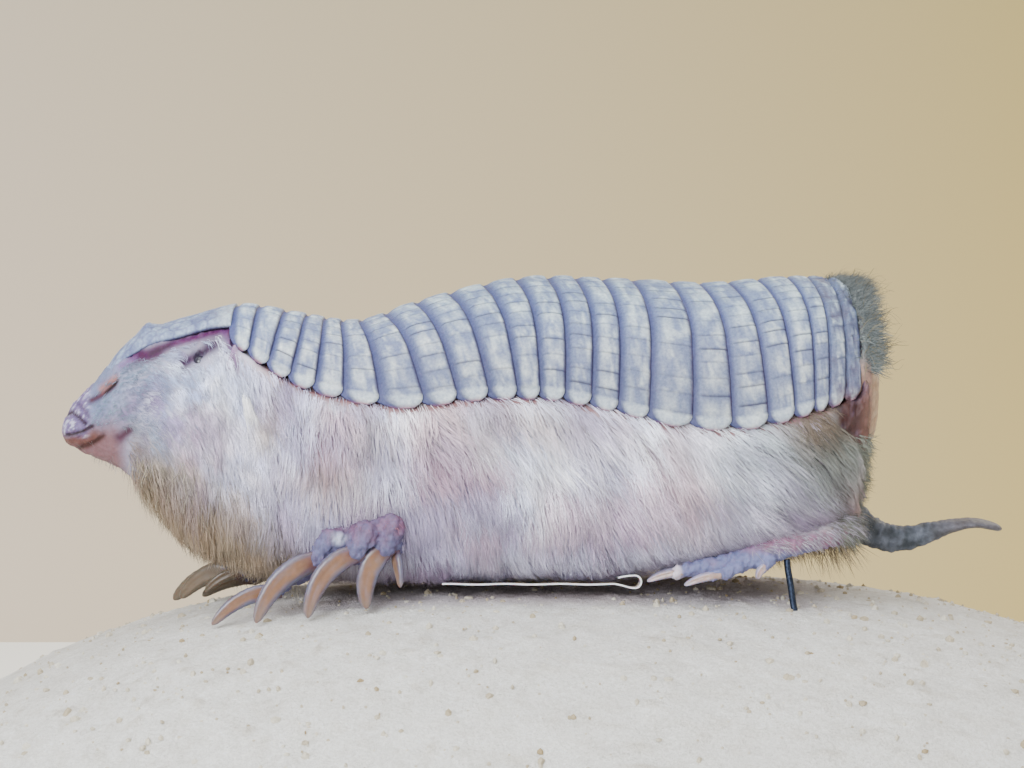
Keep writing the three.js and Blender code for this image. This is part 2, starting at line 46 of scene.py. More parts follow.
# curves and the body's own shape, in millimetres
def smoothRows(rows):
    table = np.array(rows, float)
    place, value = table[:, 0], table[:, 1:]
    step = np.diff(place)[:, None]
    rise = np.diff(value, axis=0) / step
    slope = np.empty_like(value)
    slope[1:-1] = (rise[:-1] * step[1:] + rise[1:] * step[:-1]) / (step[:-1] + step[1:])
    slope[0], slope[-1] = rise[0], rise[-1]

    def at(x):
        x = np.clip(np.asarray(x, float), place[0], place[-1])
        i = np.clip(np.searchsorted(place, x, side="right") - 1, 0, len(place) - 2)
        h = step[i, 0]
        t = ((x - place[i]) / h)[..., None]
        h = h[..., None]
        return ((1 + 2 * t) * (1 - t) ** 2 * value[i] + t * (1 - t) ** 2 * h * slope[i]
                + t * t * (3 - 2 * t) * value[i + 1] + t * t * (t - 1) * h * slope[i + 1])
    return at


def smoothStep(low, high, x):
    t = np.clip((np.asarray(x, float) - low) / (high - low), 0, 1)
    return t * t * (3 - 2 * t)


def signedPower(value, exponent):
    return np.sign(value) * np.abs(value) ** exponent


def mix(a, b, t):
    a, b, t = np.asarray(a, float), np.asarray(b, float), np.asarray(t, float)
    if t.ndim and a.ndim and a.shape[-1] == 3:
        t = t[..., None]
    return a + (b - a) * t


# place along X, back, widest level, belly, half width, squareness of the belly
body = {
    "outline": [
        (-78.0, 57.0, 55.7, 54.4, 1.7, 2.0), (-76.6, 59.0, 56.0, 53.5, 3.1, 2.1),
        (-73.0, 63.0, 57.0, 51.7, 4.5, 2.2), (-69.5, 67.3, 58.2, 49.9, 6.5, 2.2),
        (-66.0, 70.2, 58.6, 46.1, 8.7, 2.2), (-60.0, 72.0, 57.5, 40.3, 12.2, 2.3),
        (-52.0, 74.0, 55.8, 36.2, 15.7, 2.5), (-43.5, 72.8, 54.4, 34.1, 17.8, 2.8),
        (-35.5, 71.7, 53.8, 33.7, 19.0, 3.1), (-26.0, 74.6, 53.6, 34.0, 20.2, 3.4),
        (-12.0, 77.8, 53.8, 34.6, 21.8, 3.6), (2.0, 77.7, 54.0, 35.0, 22.6, 3.6),
        (16.0, 77.1, 54.0, 36.4, 22.8, 3.3), (28.0, 78.0, 54.2, 38.2, 22.0, 3.0),
        (37.0, 77.5, 54.4, 43.6, 20.0, 2.8)],
    "roundBack": 2.1,
    "shellEdge": [(-54, 70.4), (-50.5, 68.0), (-43.7, 63.7), (-35.2, 61.1), (-29, 60.2), (-17, 61.3),
                  (-8, 61.4), (3, 59.3), (10, 57.7), (20, 57.4), (29, 59.6), (37, 62.4)],
    "shieldEdge": [(-76, 0.8), (-73, 1.2), (-68, 1.8), (-66.6, 2.1), (-63, 2.0), (-57, 1.9), (-52, 2.4)],
    "shieldRear": -52.7,
    "shieldFront": -72.2,
    "bow": {"most": 2.6, "sharpness": 8, "front": -46.0, "whole": -24.0, "rear": 24.0, "rearShare": 0.6,
            "end": 36.1},
}
bodyAt = smoothRows(body["outline"])
shellEdgeAt = smoothRows(body["shellEdge"])
shieldEdgeAt = smoothRows(body["shieldEdge"])


def bodyPoint(x, angle, grow=0.0):
    row = bodyAt(x)
    back, widest, belly, half, square = (row[..., i] for i in range(5))
    c, s = np.cos(angle), np.sin(angle)
    power = 2 / np.where(s > 0, body["roundBack"], square)
    reach = np.where(s > 0, back - widest, widest - belly) + grow
    y = (half + grow) * signedPower(c, power)
    return np.stack([x + 0 * y, y, widest + reach * signedPower(s, power)], -1)


def angleAt(x, z):
    row = bodyAt(x)
    share = np.clip((z - row[..., 1]) / (row[..., 0] - row[..., 1]), 0, 1)
    return np.arcsin(share ** (body["roundBack"] / 2))


def shellAngle(x):
    z = np.where(x < body["shieldRear"], bodyAt(x)[..., 0] - shieldEdgeAt(x)[..., 0], shellEdgeAt(x)[..., 0])
    return angleAt(x, z)


def riseAt(x):
    return (bodyAt(x + 5.0)[..., 0] - bodyAt(x - 5.0)[..., 0]) / 10


# how far a band bows forward over the middle of the back
def bowAt(along, angle):
    b = body["bow"]
    begun = smoothStep(b["front"], b["whole"], along)
    kept = mix(1, b["rearShare"], smoothStep(b["rear"], b["end"], along))
    return b["most"] * begun * kept * np.sin(angle) ** b["sharpness"]


# a point of the shell: place along the back, share of the way from the right edge to the left one
def shellPoint(along, share, grow):
    along, share = np.broadcast_arrays(np.asarray(along, float), np.asarray(share, float))
    top = bodyAt(along)[..., 0]
    x = along
    for _ in range(4):
        x = along + riseAt(along) * (top - shellEdgeAt(x)[..., 0])
    low = angleAt(x, shellEdgeAt(x)[..., 0])
    angle = low + (math.pi - 2 * low) * share
    lean = riseAt(along) * (top - bodyPoint(along, angle)[..., 2])
    return bodyPoint(along + lean - bowAt(along, angle), angle, grow)


def meshObject(name, points, faces, smooth=True):
    mesh = bpy.data.meshes.new(name)
    if isinstance(faces, np.ndarray):
        corners = faces.shape[1]
        mesh.vertices.add(len(points))
        mesh.vertices.foreach_set("co", (np.asarray(points) * mm).astype(np.float32).ravel())
        mesh.loops.add(faces.size)
        mesh.loops.foreach_set("vertex_index", faces.astype(np.int32).ravel())
        mesh.polygons.add(len(faces))
        mesh.polygons.foreach_set("loop_start", np.arange(0, faces.size, corners, dtype=np.int32))
    else:
        mesh.from_pydata([tuple(p) for p in np.asarray(points) * mm], [], faces)
    mesh.polygons.foreach_set("use_smooth", np.full(len(mesh.polygons), smooth))
    mesh.update(calc_edges=True)
    mesh.validate()
    piece = bpy.data.objects.new(name, mesh)
    scene.collection.objects.link(piece)
    return piece


def coordinates(piece):
    flat = np.zeros(len(piece.data.vertices) * 3, np.float32)
    piece.data.vertices.foreach_get("co", flat)
    return flat.reshape(-1, 3).astype(float) / mm


def normals(piece):
    flat = np.zeros(len(piece.data.vertices) * 3, np.float32)
    piece.data.vertices.foreach_get("normal", flat)
    return flat.reshape(-1, 3).astype(float)


def moveTo(piece, points):
    piece.data.vertices.foreach_set("co", (points * mm).astype(np.float32).ravel())
    piece.data.update()


def paint(piece, name, colours):
    layer = piece.data.color_attributes.new(name, "FLOAT_COLOR", "POINT")
    rgba = np.ones((len(piece.data.vertices), 4), np.float32)
    rgba[:, :3] = colours
    layer.data.foreach_set("color", rgba.ravel())


def linear(*values):
    shade = np.array(values, float) / 255
    return np.where(shade <= 0.04045, shade / 12.92, ((shade + 0.055) / 1.055) ** 2.4)


# a table's colours, ready for mixing
def coloursOf(table):
    shades = {key: value for key, value in table.items() if isinstance(value, tuple) and len(value) == 3}
    return {key: linear(*value) for key, value in shades.items()}


# colours on a loft's rings, whose two end points take the colour of a ring point beside them
def paintRings(piece, tint):
    colours = tint.reshape(-1, 3)
    paint(piece, "tint", np.concatenate([colours, colours[:1], colours[-1:]]))


# a closed body through rings, shape (rings, sides, 3), with a fan at each end
def loftMesh(rings):
    count, sides = rings.shape[:2]
    points = [rings.reshape(-1, 3), rings[0].mean(0)[None], rings[-1].mean(0)[None]]
    i = np.arange(sides)
    j = (i + 1) % sides
    faces = []
    for r in range(count - 1):
        a, b = r * sides, (r + 1) * sides
        faces.append(np.stack([a + i, a + j, b + j], 1))
        faces.append(np.stack([a + i, b + j, b + i], 1))
    last = (count - 1) * sides
    faces.append(np.stack([np.full(sides, count * sides), j, i], 1))
    faces.append(np.stack([np.full(sides, count * sides + 1), last + i, last + j], 1))
    return np.concatenate(points), np.concatenate(faces)


def facingOut(points, faces):
    a, b, c = (points[faces[:, k]] for k in range(3))
    if np.einsum("ij,ij->i", a, np.cross(b, c)).sum() < 0:
        faces = faces[:, ::-1].copy()
    return faces


def loft(name, rings, smooth=True):
    points, faces = loftMesh(rings)
    return meshObject(name, points, facingOut(points, faces), smooth)


def smoothLine(points, count):
    points = np.array(points, float)
    rows = np.column_stack([np.linspace(0, 1, len(points)), points])
    return smoothRows(rows)(np.linspace(0, 1, count))


# rings round a line; heights and widths follow the same stations as the line
def tubeRings(line, heights, widths, steps, sides, up=(0, 0, 1)):
    path = smoothLine(line, steps)
    sizes = smoothLine(np.column_stack([heights, widths]), steps)
    along = np.gradient(path, axis=0)
    along /= np.linalg.norm(along, axis=1, keepdims=True)
    side = np.cross(np.array(up, float)[None], along)
    side /= np.linalg.norm(side, axis=1, keepdims=True)
    rise = np.cross(along, side)
    turn = np.arange(sides) * 2 * math.pi / sides
    return (path[:, None] + side[:, None] * (sizes[:, 1, None, None] * np.cos(turn)[None, :, None])
            + rise[:, None] * (sizes[:, 0, None, None] * np.sin(turn)[None, :, None]))


def select(*pieces):
    bpy.ops.object.select_all(action="DESELECT")
    for piece in pieces:
        piece.select_set(True)
    bpy.context.view_layer.objects.active = pieces[0]


def apply(piece, kind, **settings):
    select(piece)
    modifier = piece.modifiers.new(kind.title(), kind)
    for key, value in settings.items():
        setattr(modifier, key, value)
    bpy.ops.object.modifier_apply(modifier=modifier.name)


def join(name, pieces):
    select(*pieces)
    bpy.ops.object.join()
    pieces[0].name = name
    pieces[0].data.name = name
    return pieces[0]


def roundBall(name, centre, radii, level=3):
    bpy.ops.mesh.primitive_ico_sphere_add(subdivisions=level, radius=1, location=(0, 0, 0))
    piece = bpy.context.object
    piece.name = name
    moveTo(piece, coordinates(piece) * mm * np.array(radii) + np.array(centre))
    return piece


# smooth random relief from -1 to 1 at points, one cell being size across
def relief(points, size, octaves=3, seed=0.0):
    out = np.empty(len(points))
    for i, p in enumerate(points / size):
        out[i] = noise.fractal(Vector(p) + Vector((seed, seed * 0.7, -seed)), 0.8, 2.1, octaves)
    return out


def nearPath(points, path):
    best = np.full(len(points), 1e9)
    path = np.array(path, float)
    for a, b in zip(path[:-1], path[1:]):
        t = np.clip(((points - a) @ (b - a)) / max(1e-9, (b - a) @ (b - a)), 0, 1)
        best = np.minimum(best, np.linalg.norm(points - a - t[:, None] * (b - a), axis=1))
    return best


def newMaterial(name):
    material = bpy.data.materials.new(name)
    material.use_nodes = True
    nodes = material.node_tree.nodes
    return material, nodes, material.node_tree.links, nodes["Principled BSDF"]


def setSockets(shader, values):
    for socket, value in values.items():
        shader.inputs[socket].default_value = value


def addNoise(nodes, links, vector, scale, detail=4, rough=0.55):
    node = nodes.new("ShaderNodeTexNoise")
    node.inputs["Scale"].default_value = scale
    node.inputs["Detail"].default_value = detail
    node.inputs["Roughness"].default_value = rough
    links.new(vector, node.inputs["Vector"])
    return node.outputs["Fac"]


def addRamp(nodes, links, factor, stops):
    node = nodes.new("ShaderNodeValToRGB")
    ramp = node.color_ramp
    for place, shade in stops[2:]:
        ramp.elements.new(place)
    for element, (place, shade) in zip(ramp.elements, stops):
        element.position = place
        element.color = (*shade, 1)
    links.new(factor, node.inputs["Fac"])
    return node.outputs["Color"]


def addMix(nodes, links, a, b, factor, kind="MIX"):
    node = nodes.new("ShaderNodeMix")
    node.data_type = "RGBA"
    node.blend_type = kind
    for socket, value in ((node.inputs[6], a), (node.inputs[7], b), (node.inputs[0], factor)):
        if isinstance(value, bpy.types.NodeSocket):
            links.new(value, socket)
        else:
            socket.default_value = value
    return node.outputs[2]


def addBump(nodes, links, height, strength, distance, before=None):
    node = nodes.new("ShaderNodeBump")
    node.inputs["Strength"].default_value = strength
    node.inputs["Distance"].default_value = distance * mm
    links.new(height, node.inputs["Height"])
    if before:
        links.new(before, node.inputs["Normal"])
    return node.outputs["Normal"]


# a finish whose base colour is painted on the points, broken up by two sizes of noise
def paintedMaterial(name, look):
    material, nodes, links, shader = newMaterial(name)
    place = nodes.new("ShaderNodeTexCoord").outputs["Object"]
    tint = nodes.new("ShaderNodeAttribute")
    tint.attribute_name = "tint"
    colour = tint.outputs["Color"]
    for scale, low, high in look["mottle"]:
        spots = addRamp(nodes, links, addNoise(nodes, links, place, scale, 5, 0.6),
                        [(0.3, low), (0.7, high)])
        colour = addMix(nodes, links, colour, spots, 1.0, "MULTIPLY")
    links.new(colour, shader.inputs["Base Color"])
    rough = nodes.new("ShaderNodeMapRange")
    rough.inputs["To Min"].default_value = look["rough"][0]
    rough.inputs["To Max"].default_value = look["rough"][1]
    links.new(addNoise(nodes, links, place, look["roughScale"]), rough.inputs["Value"])
    links.new(rough.outputs["Result"], shader.inputs["Roughness"])
    normal = None
    for scale, strength, depth in look["bump"]:
        noise = addNoise(nodes, links, place, scale, 6, 0.65)
        normal = addBump(nodes, links, noise, strength, depth, normal)
    if normal:
        links.new(normal, shader.inputs["Normal"])
    setSockets(shader, look["shader"])
    return material


looks = {
    "skin": {
        "mottle": [(900, (0.86, 0.84, 0.86), (1.08, 1.06, 1.05)),
                   (4200, (0.9, 0.88, 0.9), (1.06, 1.06, 1.06))],
        "rough": (0.5, 0.72), "roughScale": 2500,
        "bump": [(3800, 0.55, 0.16), (1400, 0.4, 0.3)],
        "shader": {"Subsurface Weight": 0.12, "Subsurface Scale": 0.0008, "Specular IOR Level": 0.4}},
    "shell": {
        "mottle": [(420, (0.84, 0.86, 0.92), (1.10, 1.10, 1.08)),
                   (2400, (0.70, 0.72, 0.80), (1.22, 1.21, 1.16))],
        "rough": (0.45, 0.75), "roughScale": 1800,
        "bump": [(1500, 0.6, 0.25), (4200, 0.6, 0.12), (9500, 0.5, 0.05)],
        "shader": {"Subsurface Weight": 0.08, "Subsurface Scale": 0.0006, "Specular IOR Level": 0.45}},
    "claw": {
        "mottle": [(1500, (0.84, 0.82, 0.8), (1.08, 1.05, 1.03))],
        "rough": (0.24, 0.42), "roughScale": 2200,
        "bump": [(3000, 0.25, 0.06)],
        "shader": {"Subsurface Weight": 0.25, "Subsurface Scale": 0.0012, "Coat Weight": 0.25,
                   "Coat Roughness": 0.25}},
    "tail": {
        "mottle": [(1200, (0.72, 0.7, 0.74), (1.25, 1.22, 1.22)),
                   (5200, (0.82, 0.82, 0.84), (1.12, 1.12, 1.12))],
        "rough": (0.45, 0.7), "roughScale": 2600,
        "bump": [(3600, 0.6, 0.16)],
        "shader": {"Specular IOR Level": 0.45}},
    "sand": {
        "mottle": [(160, (0.93, 0.92, 0.91), (1.04, 1.04, 1.04)),
                   (1700, (0.86, 0.85, 0.83), (1.1, 1.1, 1.1)),
                   (5200, (0.88, 0.87, 0.85), (1.08, 1.08, 1.08))],
        "rough": (0.8, 0.97), "roughScale": 3000,
        "bump": [(1300, 0.8, 0.5), (2600, 0.9, 0.35), (7000, 0.8, 0.14)],
        "shader": {"Specular IOR Level": 0.25}},
}
materials = {name: paintedMaterial(name, look) for name, look in looks.items()}


coatLook = {"Roughness": 0.62, "Specular IOR Level": 0.3, "Subsurface Weight": 0.5,
            "Subsurface Scale": 0.0008,
            "Subsurface Radius": (1, 1, 1), "Sheen Weight": 0.15, "Sheen Roughness": 0.5}


def coatMaterial():
    material, nodes, links, shader = newMaterial("coat")
    tint = nodes.new("ShaderNodeAttribute")
    tint.attribute_name = "tint"
    place = nodes.new("ShaderNodeTexCoord").outputs["Object"]
    stops = [(0.3, (0.9, 0.89, 0.9)), (0.7, (1.06, 1.06, 1.05))]
    spots = addRamp(nodes, links, addNoise(nodes, links, place, 380, 3), stops)
    colour = addMix(nodes, links, tint.outputs["Color"], spots, 1.0, "MULTIPLY")
    links.new(colour, shader.inputs["Base Color"])
    setSockets(shader, coatLook)
    shader.subsurface_method = "BURLEY"
    return material


materials["coat"] = coatMaterial()


def finish(piece, material, slot, *replaced):
    piece.data.materials.clear()
    piece.data.materials.append(materials[material])
    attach(piece, "root")
    if replaced:
        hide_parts(*replaced)
    return piece


view = {"target": (-12.75, 0.0, 62.4), "distance": 400.0, "elevation": 3.0, "sensor": 36.0, "lens": 97.03125}


def addCamera():
    target = Vector(view["target"]) * mm
    tilt = math.radians(view["elevation"])
    camera = bpy.data.objects.new("camera", bpy.data.cameras.new("camera"))
    camera.location = target + Vector((0, -math.cos(tilt), math.sin(tilt))) * view["distance"] * mm
    camera.rotation_euler = (math.pi / 2 - tilt, 0, 0)
    camera.data.sensor_width = view["sensor"]
    camera.data.lens = view["lens"]
    camera.data.clip_start = 0.01
    scene.collection.objects.link(camera)
    scene.camera = camera


lampAim = (-12, 0, 55)
lamps = {
    "overhead": {"at": (-60, -110, 420), "size": 300, "power": 0.9, "shade": (0.90, 0.96, 1.0)},
    "front": {"at": (-190, -420, 230), "size": 300, "power": 3.7, "shade": (0.90, 0.95, 1.0)},
    "behind": {"at": (230, 330, 260), "size": 300, "power": 0.8, "shade": (1.0, 0.96, 0.9)},
}


def addLamps():
    for name, lamp in lamps.items():
        light = bpy.data.lights.new(name, "AREA")
        light.shape = "DISK"
        light.size = lamp["size"] * mm
        light.energy = lamp["power"]
        light.color = lamp["shade"]
        holder = bpy.data.objects.new(name, light)
        holder.location = Vector(lamp["at"]) * mm
        aim = Vector(lampAim) * mm - holder.location
        holder.rotation_euler = aim.to_track_quat("-Z", "Y").to_euler()
        scene.collection.objects.link(holder)


room = {"air": linear(222, 216, 208), "strength": 1.52, "floor": linear(250, 248, 240),
        "floorHalf": 900.0, "floorFront": -1200.0, "floorEdge": 170.0, "floorLevel": -0.2,
        "paperFar": 1300.0, "paperHalf": 2400.0, "paperLow": -900.0, "paperHigh": 1400.0,
        "paperLeft": linear(255, 240, 218), "paperRight": linear(232, 210, 142),
        "paperTop": (0.80, 0.82, 0.80),
        "shadeAcross": (-0.32, 0.31), "shadeUp": (-0.106, 0.278)}


def stagePlane(name, corners, roughness):
    plane = meshObject(name, np.array(corners, float), [(0, 1, 2, 3)], False)
    material, nodes, links, shader = newMaterial(name)
    shader.inputs["Roughness"].default_value = roughness
    plane.data.materials.append(material)
    return nodes, links, shader


def addRange(nodes, links, value, span):
    node = nodes.new("ShaderNodeMapRange")
    node.inputs["From Min"].default_value, node.inputs["From Max"].default_value = span
    links.new(value, node.inputs["Value"])
    return node.outputs["Result"]


# a table top with a sheet of paper hanging well behind it, with painted light on the paper: brighter at the
# left, darker at the right and towards the top
def addRoom():
    world = bpy.data.worlds.new("room")
    scene.world = world
    world.use_nodes = True
    background = world.node_tree.nodes["Background"]
    background.inputs["Color"].default_value = (*room["air"], 1)
    background.inputs["Strength"].default_value = room["strength"]
    half, front, edge, level = (room[key] for key in ("floorHalf", "floorFront", "floorEdge", "floorLevel"))
    corners = [(-half, front, level), (half, front, level), (half, edge, level), (-half, edge, level)]
    nodes, links, shader = stagePlane("floor", corners, 0.7)
    shader.inputs["Base Color"].default_value = (*room["floor"], 1)
    half, far, low, high = (room[key] for key in ("paperHalf", "paperFar", "paperLow", "paperHigh"))
    corners = [(-half, far, low), (half, far, low), (half, far, high), (-half, far, high)]
    nodes, links, shader = stagePlane("paper", corners, 0.9)
    split = nodes.new("ShaderNodeSeparateXYZ")
    links.new(nodes.new("ShaderNodeTexCoord").outputs["Object"], split.inputs[0])
    across = addRange(nodes, links, split.outputs["X"], room["shadeAcross"])
    upward = addRange(nodes, links, split.outputs["Z"], room["shadeUp"])
    shade = addMix(nodes, links, (*room["paperLeft"], 1), (*room["paperRight"], 1), across)
    fade = addMix(nodes, links, (1, 1, 1, 1), (*room["paperTop"], 1), upward)
    links.new(addMix(nodes, links, shade, fade, 1.0, "MULTIPLY"), shader.inputs["Base Color"])


addCamera()
addLamps()
addRoom()
print("camera, light and floor")


mound = {
    "halfLength": 100.0, "halfWidth": 68.0, "height": 33.0, "crest": -3.0, "dropX": 24.0, "dropY": 27.5,
    "steep": 3, "rows": 92, "sides": 400,
    "corner": 0.75, "domeShare": 0.985, "wall": 2.2,
    "foot": [(0.997, 1.6), (1, 0.9), (0.995, 0.0), (0.5, 0.0)],
    "sand": linear(254, 254, 252), "dark": linear(190, 176, 148), "shadow": linear(176, 150, 176),
    "grains": 2000, "grainSize": (0.22, 0.72), "grainShare": 0.96,
    "grainDark": linear(188, 166, 124), "grainPale": linear(250, 246, 232),
}


def moundHeight(x, y):
    m = mound
    return (m["height"] - m["dropX"] * np.abs((x - m["crest"]) / 100) ** m["steep"]
            - m["dropY"] * np.abs(y / m["halfWidth"]) ** m["steep"])


def buildMound():
    m = mound
    turn = np.arange(m["sides"]) * 2 * math.pi / m["sides"]
    across = signedPower(np.cos(turn), m["corner"])
    deep = signedPower(np.sin(turn), m["corner"])
    rings = []
    for share in np.linspace(0.004, 1, m["rows"]):
        x = m["halfLength"] * m["domeShare"] * share * across
        y = m["halfWidth"] * m["domeShare"] * share * deep
        rings.append(np.stack([x, y, np.maximum(moundHeight(x, y), m["wall"])], -1))
    for share, z in m["foot"]:
        x, y = m["halfLength"] * share * across, m["halfWidth"] * share * deep
        rings.append(np.stack([x, y, np.full_like(x, z)], -1))
    piece = loft("mound_sand", np.array(rings))
    points = coordinates(piece)
    rough = 0.34 * relief(points, 5.5, 4, 3.0) + 0.20 * relief(points, 1.5, 3, 9.0)
    lumps = np.clip(relief(points, 2.2, 2, 21.0) - 0.35, 0, 1)
    above = smoothStep(0.5, 2.5, points[:, 2])  # the foot stays smooth
    moved = points.copy()
    moved[:, 2] += (rough + 0.9 * lumps) * above * 0.75
    moveTo(piece, moved)
    shade = mix(m["sand"], m["dark"], np.clip(0.02 + 0.25 * relief(points, 2.4, 4, 5) + 0.7 * lumps, 0, 1))
    x, y = points[:, 0], points[:, 1]
    # painted shadow: the sand under the belly is darker
    under = smoothStep(21, 14, np.abs(y)) * smoothStep(-60, -35, x) * smoothStep(40, 22, x)
    shade = mix(shade, m["shadow"], 0.4 * under)
    paint(piece, "tint", shade)
    finish(piece, "sand", "mound", "mound")


def buildGrains():
    m = mound
    bpy.ops.mesh.primitive_ico_sphere_add(subdivisions=1, radius=1, location=(0, 0, 0))
    seed = bpy.context.object
    ball = coordinates(seed) * mm
    triangles = np.array([list(f.vertices) for f in seed.data.polygons])
    bpy.data.objects.remove(seed)
    count = m["grains"]
    turn = rng.uniform(0, 2 * math.pi, count)
    share = np.sqrt(rng.uniform(0, 1, count)) * m["grainShare"]
    x = m["halfLength"] * share * signedPower(np.cos(turn), m["corner"])
    y = m["halfWidth"] * share * signedPower(np.sin(turn), m["corner"])
    size = m["grainSize"][0] + (m["grainSize"][1] - m["grainSize"][0]) * rng.random(count) ** 3
    z = moundHeight(x, y)
    squash = rng.uniform(0.6, 1.1, (count, 1, 3))
    dents = 1 + 0.15 * rng.standard_normal((count, len(ball), 1))
    points = ball[None] * squash * size[:, None, None] * dents
    points += np.stack([x, y, z + 0.02], -1)[:, None]
    faces = (triangles[None] + (np.arange(count) * len(ball))[:, None, None]).reshape(-1, 3)
    piece = meshObject("mound_grains", points.reshape(-1, 3), faces, False)
    pale = rng.random(count) ** 0.6
    shade = mix(m["grainDark"], m["grainPale"], pale)
    paint(piece, "tint", np.repeat(shade, len(ball), 0))
    finish(piece, "sand", "mound")


def metalMaterial():
    material, nodes, links, shader = newMaterial("darkSteel")
    place = nodes.new("ShaderNodeTexCoord").outputs["Object"]
    fine = addNoise(nodes, links, place, 3200, 5)
    shade = addRamp(nodes, links, fine, [(0.3, linear(18, 24, 38)), (0.75, linear(58, 68, 88))])
    links.new(shade, shader.inputs["Base Color"])
    links.new(addBump(nodes, links, fine, 0.3, 0.05), shader.inputs["Normal"])
    setSockets(shader, {"Metallic": 0.85, "Roughness": 0.38})
    return material


def filmMaterial():
    material, nodes, links, shader = newMaterial("film")
    place = nodes.new("ShaderNodeTexCoord").outputs["Object"]
    stops = [(0.3, linear(214, 205, 214)), (0.7, linear(244, 240, 242))]
    shade = addRamp(nodes, links, addNoise(nodes, links, place, 1500, 4), stops)
    links.new(shade, shader.inputs["Base Color"])
    links.new(addBump(nodes, links, addNoise(nodes, links, place, 900, 3), 0.3, 0.1),
              shader.inputs["Normal"])
    setSockets(shader, {"Roughness": 0.22, "Subsurface Weight": 0.3, "Subsurface Scale": 0.001})
    return material


materials["darkSteel"] = metalMaterial()
materials["film"] = filmMaterial()
mount = {
    "rodLine": [(25.5, -17.4, 38.9), (25.6, -17.6, 37.6), (26.0, -17.9, 35.2), (26.4, -18.2, 32.3),
                (27.2, -19.0, 28.6)],
    "rodRadius": 0.47,
    "strip": {"from": -22.5, "to": 4.4, "y": -13.0, "z": 34.8, "width": 7.0, "thickness": 0.22,
              "foldRadius": 0.78, "dip": 0.55, "flap": 2.4, "tilt": 0.11, "drop": 2.8},
}


def buildRod():
    sizes = [mount["rodRadius"]] * len(mount["rodLine"])
    rings = tubeRings(mount["rodLine"], sizes, sizes, 40, 20, (0, 1, 0))
    piece = loft("support_rod_bent", rings)
    finish(piece, "darkSteel", "rod", "support_rod")


# the film's middle line: flat, dipping a little, then round the fold and back
def buildStrip():
    s = mount["strip"]
    half, bend = s["thickness"] / 2, s["to"] - s["drop"]
    radius, middle = s["foldRadius"] + half, s["foldRadius"] + s["thickness"] - s["dip"]
    line = [(x, half + 0.05 * math.sin(x * 0.8)) for x in np.linspace(s["from"], bend, 40)]
    for t in np.linspace(0, 1, 8)[1:]:
        line.append((bend + s["drop"] * t, half + (middle - radius - half) * t * t * (3 - 2 * t)))
    for a in np.radians(np.linspace(-90, 90, 22)[1:]):
        line.append((s["to"] + radius * math.cos(a), middle + radius * math.sin(a)))
    for t in np.linspace(0, 1, 8)[1:]:
        line.append((s["to"] - s["flap"] * t, middle + radius - 0.35 * t * t))
    line = np.array(line)
    along = np.gradient(line, axis=0)
    along /= np.linalg.norm(along, axis=1, keepdims=True)
    side = np.stack([-along[:, 1], along[:, 0]], 1) * s["thickness"] / 2
    rings = []
    across = np.linspace(-0.5, 0.5, 7)
    for p, n, i in zip(line, side, range(len(line))):
        ragged = 0.25 * math.sin(i * 2.1) if i > len(line) - 4 else 0
        ring = []
        for sign, places in ((1, across), (-1, across[::-1])):
            for a in places:
                height = s["z"] + p[1] + sign * n[1] - s["tilt"] * s["width"] * a
                ring.append((p[0] + sign * n[0] + ragged * a, s["y"] + s["width"] * a, height))
        rings.append(ring)
    piece = loft("support_film", np.array(rings), False)
    finish(piece, "film", "strip", "support_strip")


buildMound()
buildGrains()
buildRod()
buildStrip()
print("mount")


# share runs down a side from the middle of the back (0) to the middle of the belly (1)
def sideTable():
    xs = np.linspace(-78, 38, 233)
    steps = np.linspace(-1, 1, 1601)
    graded = np.sign(steps) * (3 * steps ** 2 - 2 * np.abs(steps) ** 3)
    angles = -graded * math.pi / 2
    shares = np.linspace(0, 1, 161)
    angle = np.empty((len(xs), len(shares)))
    length = np.empty(len(xs))
    edge = np.empty(len(xs))
    low = shellAngle(xs)
    for i, x in enumerate(xs):
        section = bodyPoint(np.full(len(angles), x), angles)
        run = np.concatenate([[0], np.cumsum(np.linalg.norm(np.diff(section, axis=0), axis=1))])
        length[i] = run[-1]
        angle[i] = np.interp(shares, run / run[-1], angles)
        edge[i] = np.interp(-low[i], -angles, run) / run[-1]
    return {"xs": xs, "shares": shares, "angle": angle, "length": length, "edge": edge}


table = sideTable()


def angleFor(x, share):
    xs, shares = table["xs"], table["shares"]
    i = np.clip((np.asarray(x) - xs[0]) / (xs[1] - xs[0]), 0, len(xs) - 1.001)
    j = np.clip(np.asarray(share) / (shares[1] - shares[0]), 0, len(shares) - 1.001)
    i0, j0 = i.astype(int), j.astype(int)
    a, b = i - i0, j - j0
    grid = table["angle"]
    return ((grid[i0, j0] * (1 - a) + grid[i0 + 1, j0] * a) * (1 - b)
            + (grid[i0, j0 + 1] * (1 - a) + grid[i0 + 1, j0 + 1] * a) * b)


def lengthFor(x):
    return np.interp(x, table["xs"], table["length"])


def edgeShare(x):
    return np.interp(x, table["xs"], table["edge"])


def sidePoint(x, share, side, grow=0.0):
    x, share, side, grow = np.broadcast_arrays(x, share, side, grow)
    points = bodyPoint(x, angleFor(x, share), grow)
    points[..., 1] *= side
    return points


# how far below the shell's edge a place is, measured round the body
def belowShell(x, share):
    return (share - edgeShare(x)) * lengthFor(x)


coatDepthAt = smoothRows([(-78, 0.0), (-72, 0.05), (-67, 0.45), (-60, 0.8), (-52, 1.4), (-43, 2.2),
                          (-35, 2.6),
                          (-20, 2.8), (0, 2.8), (28, 2.7), (37, 2.3)])


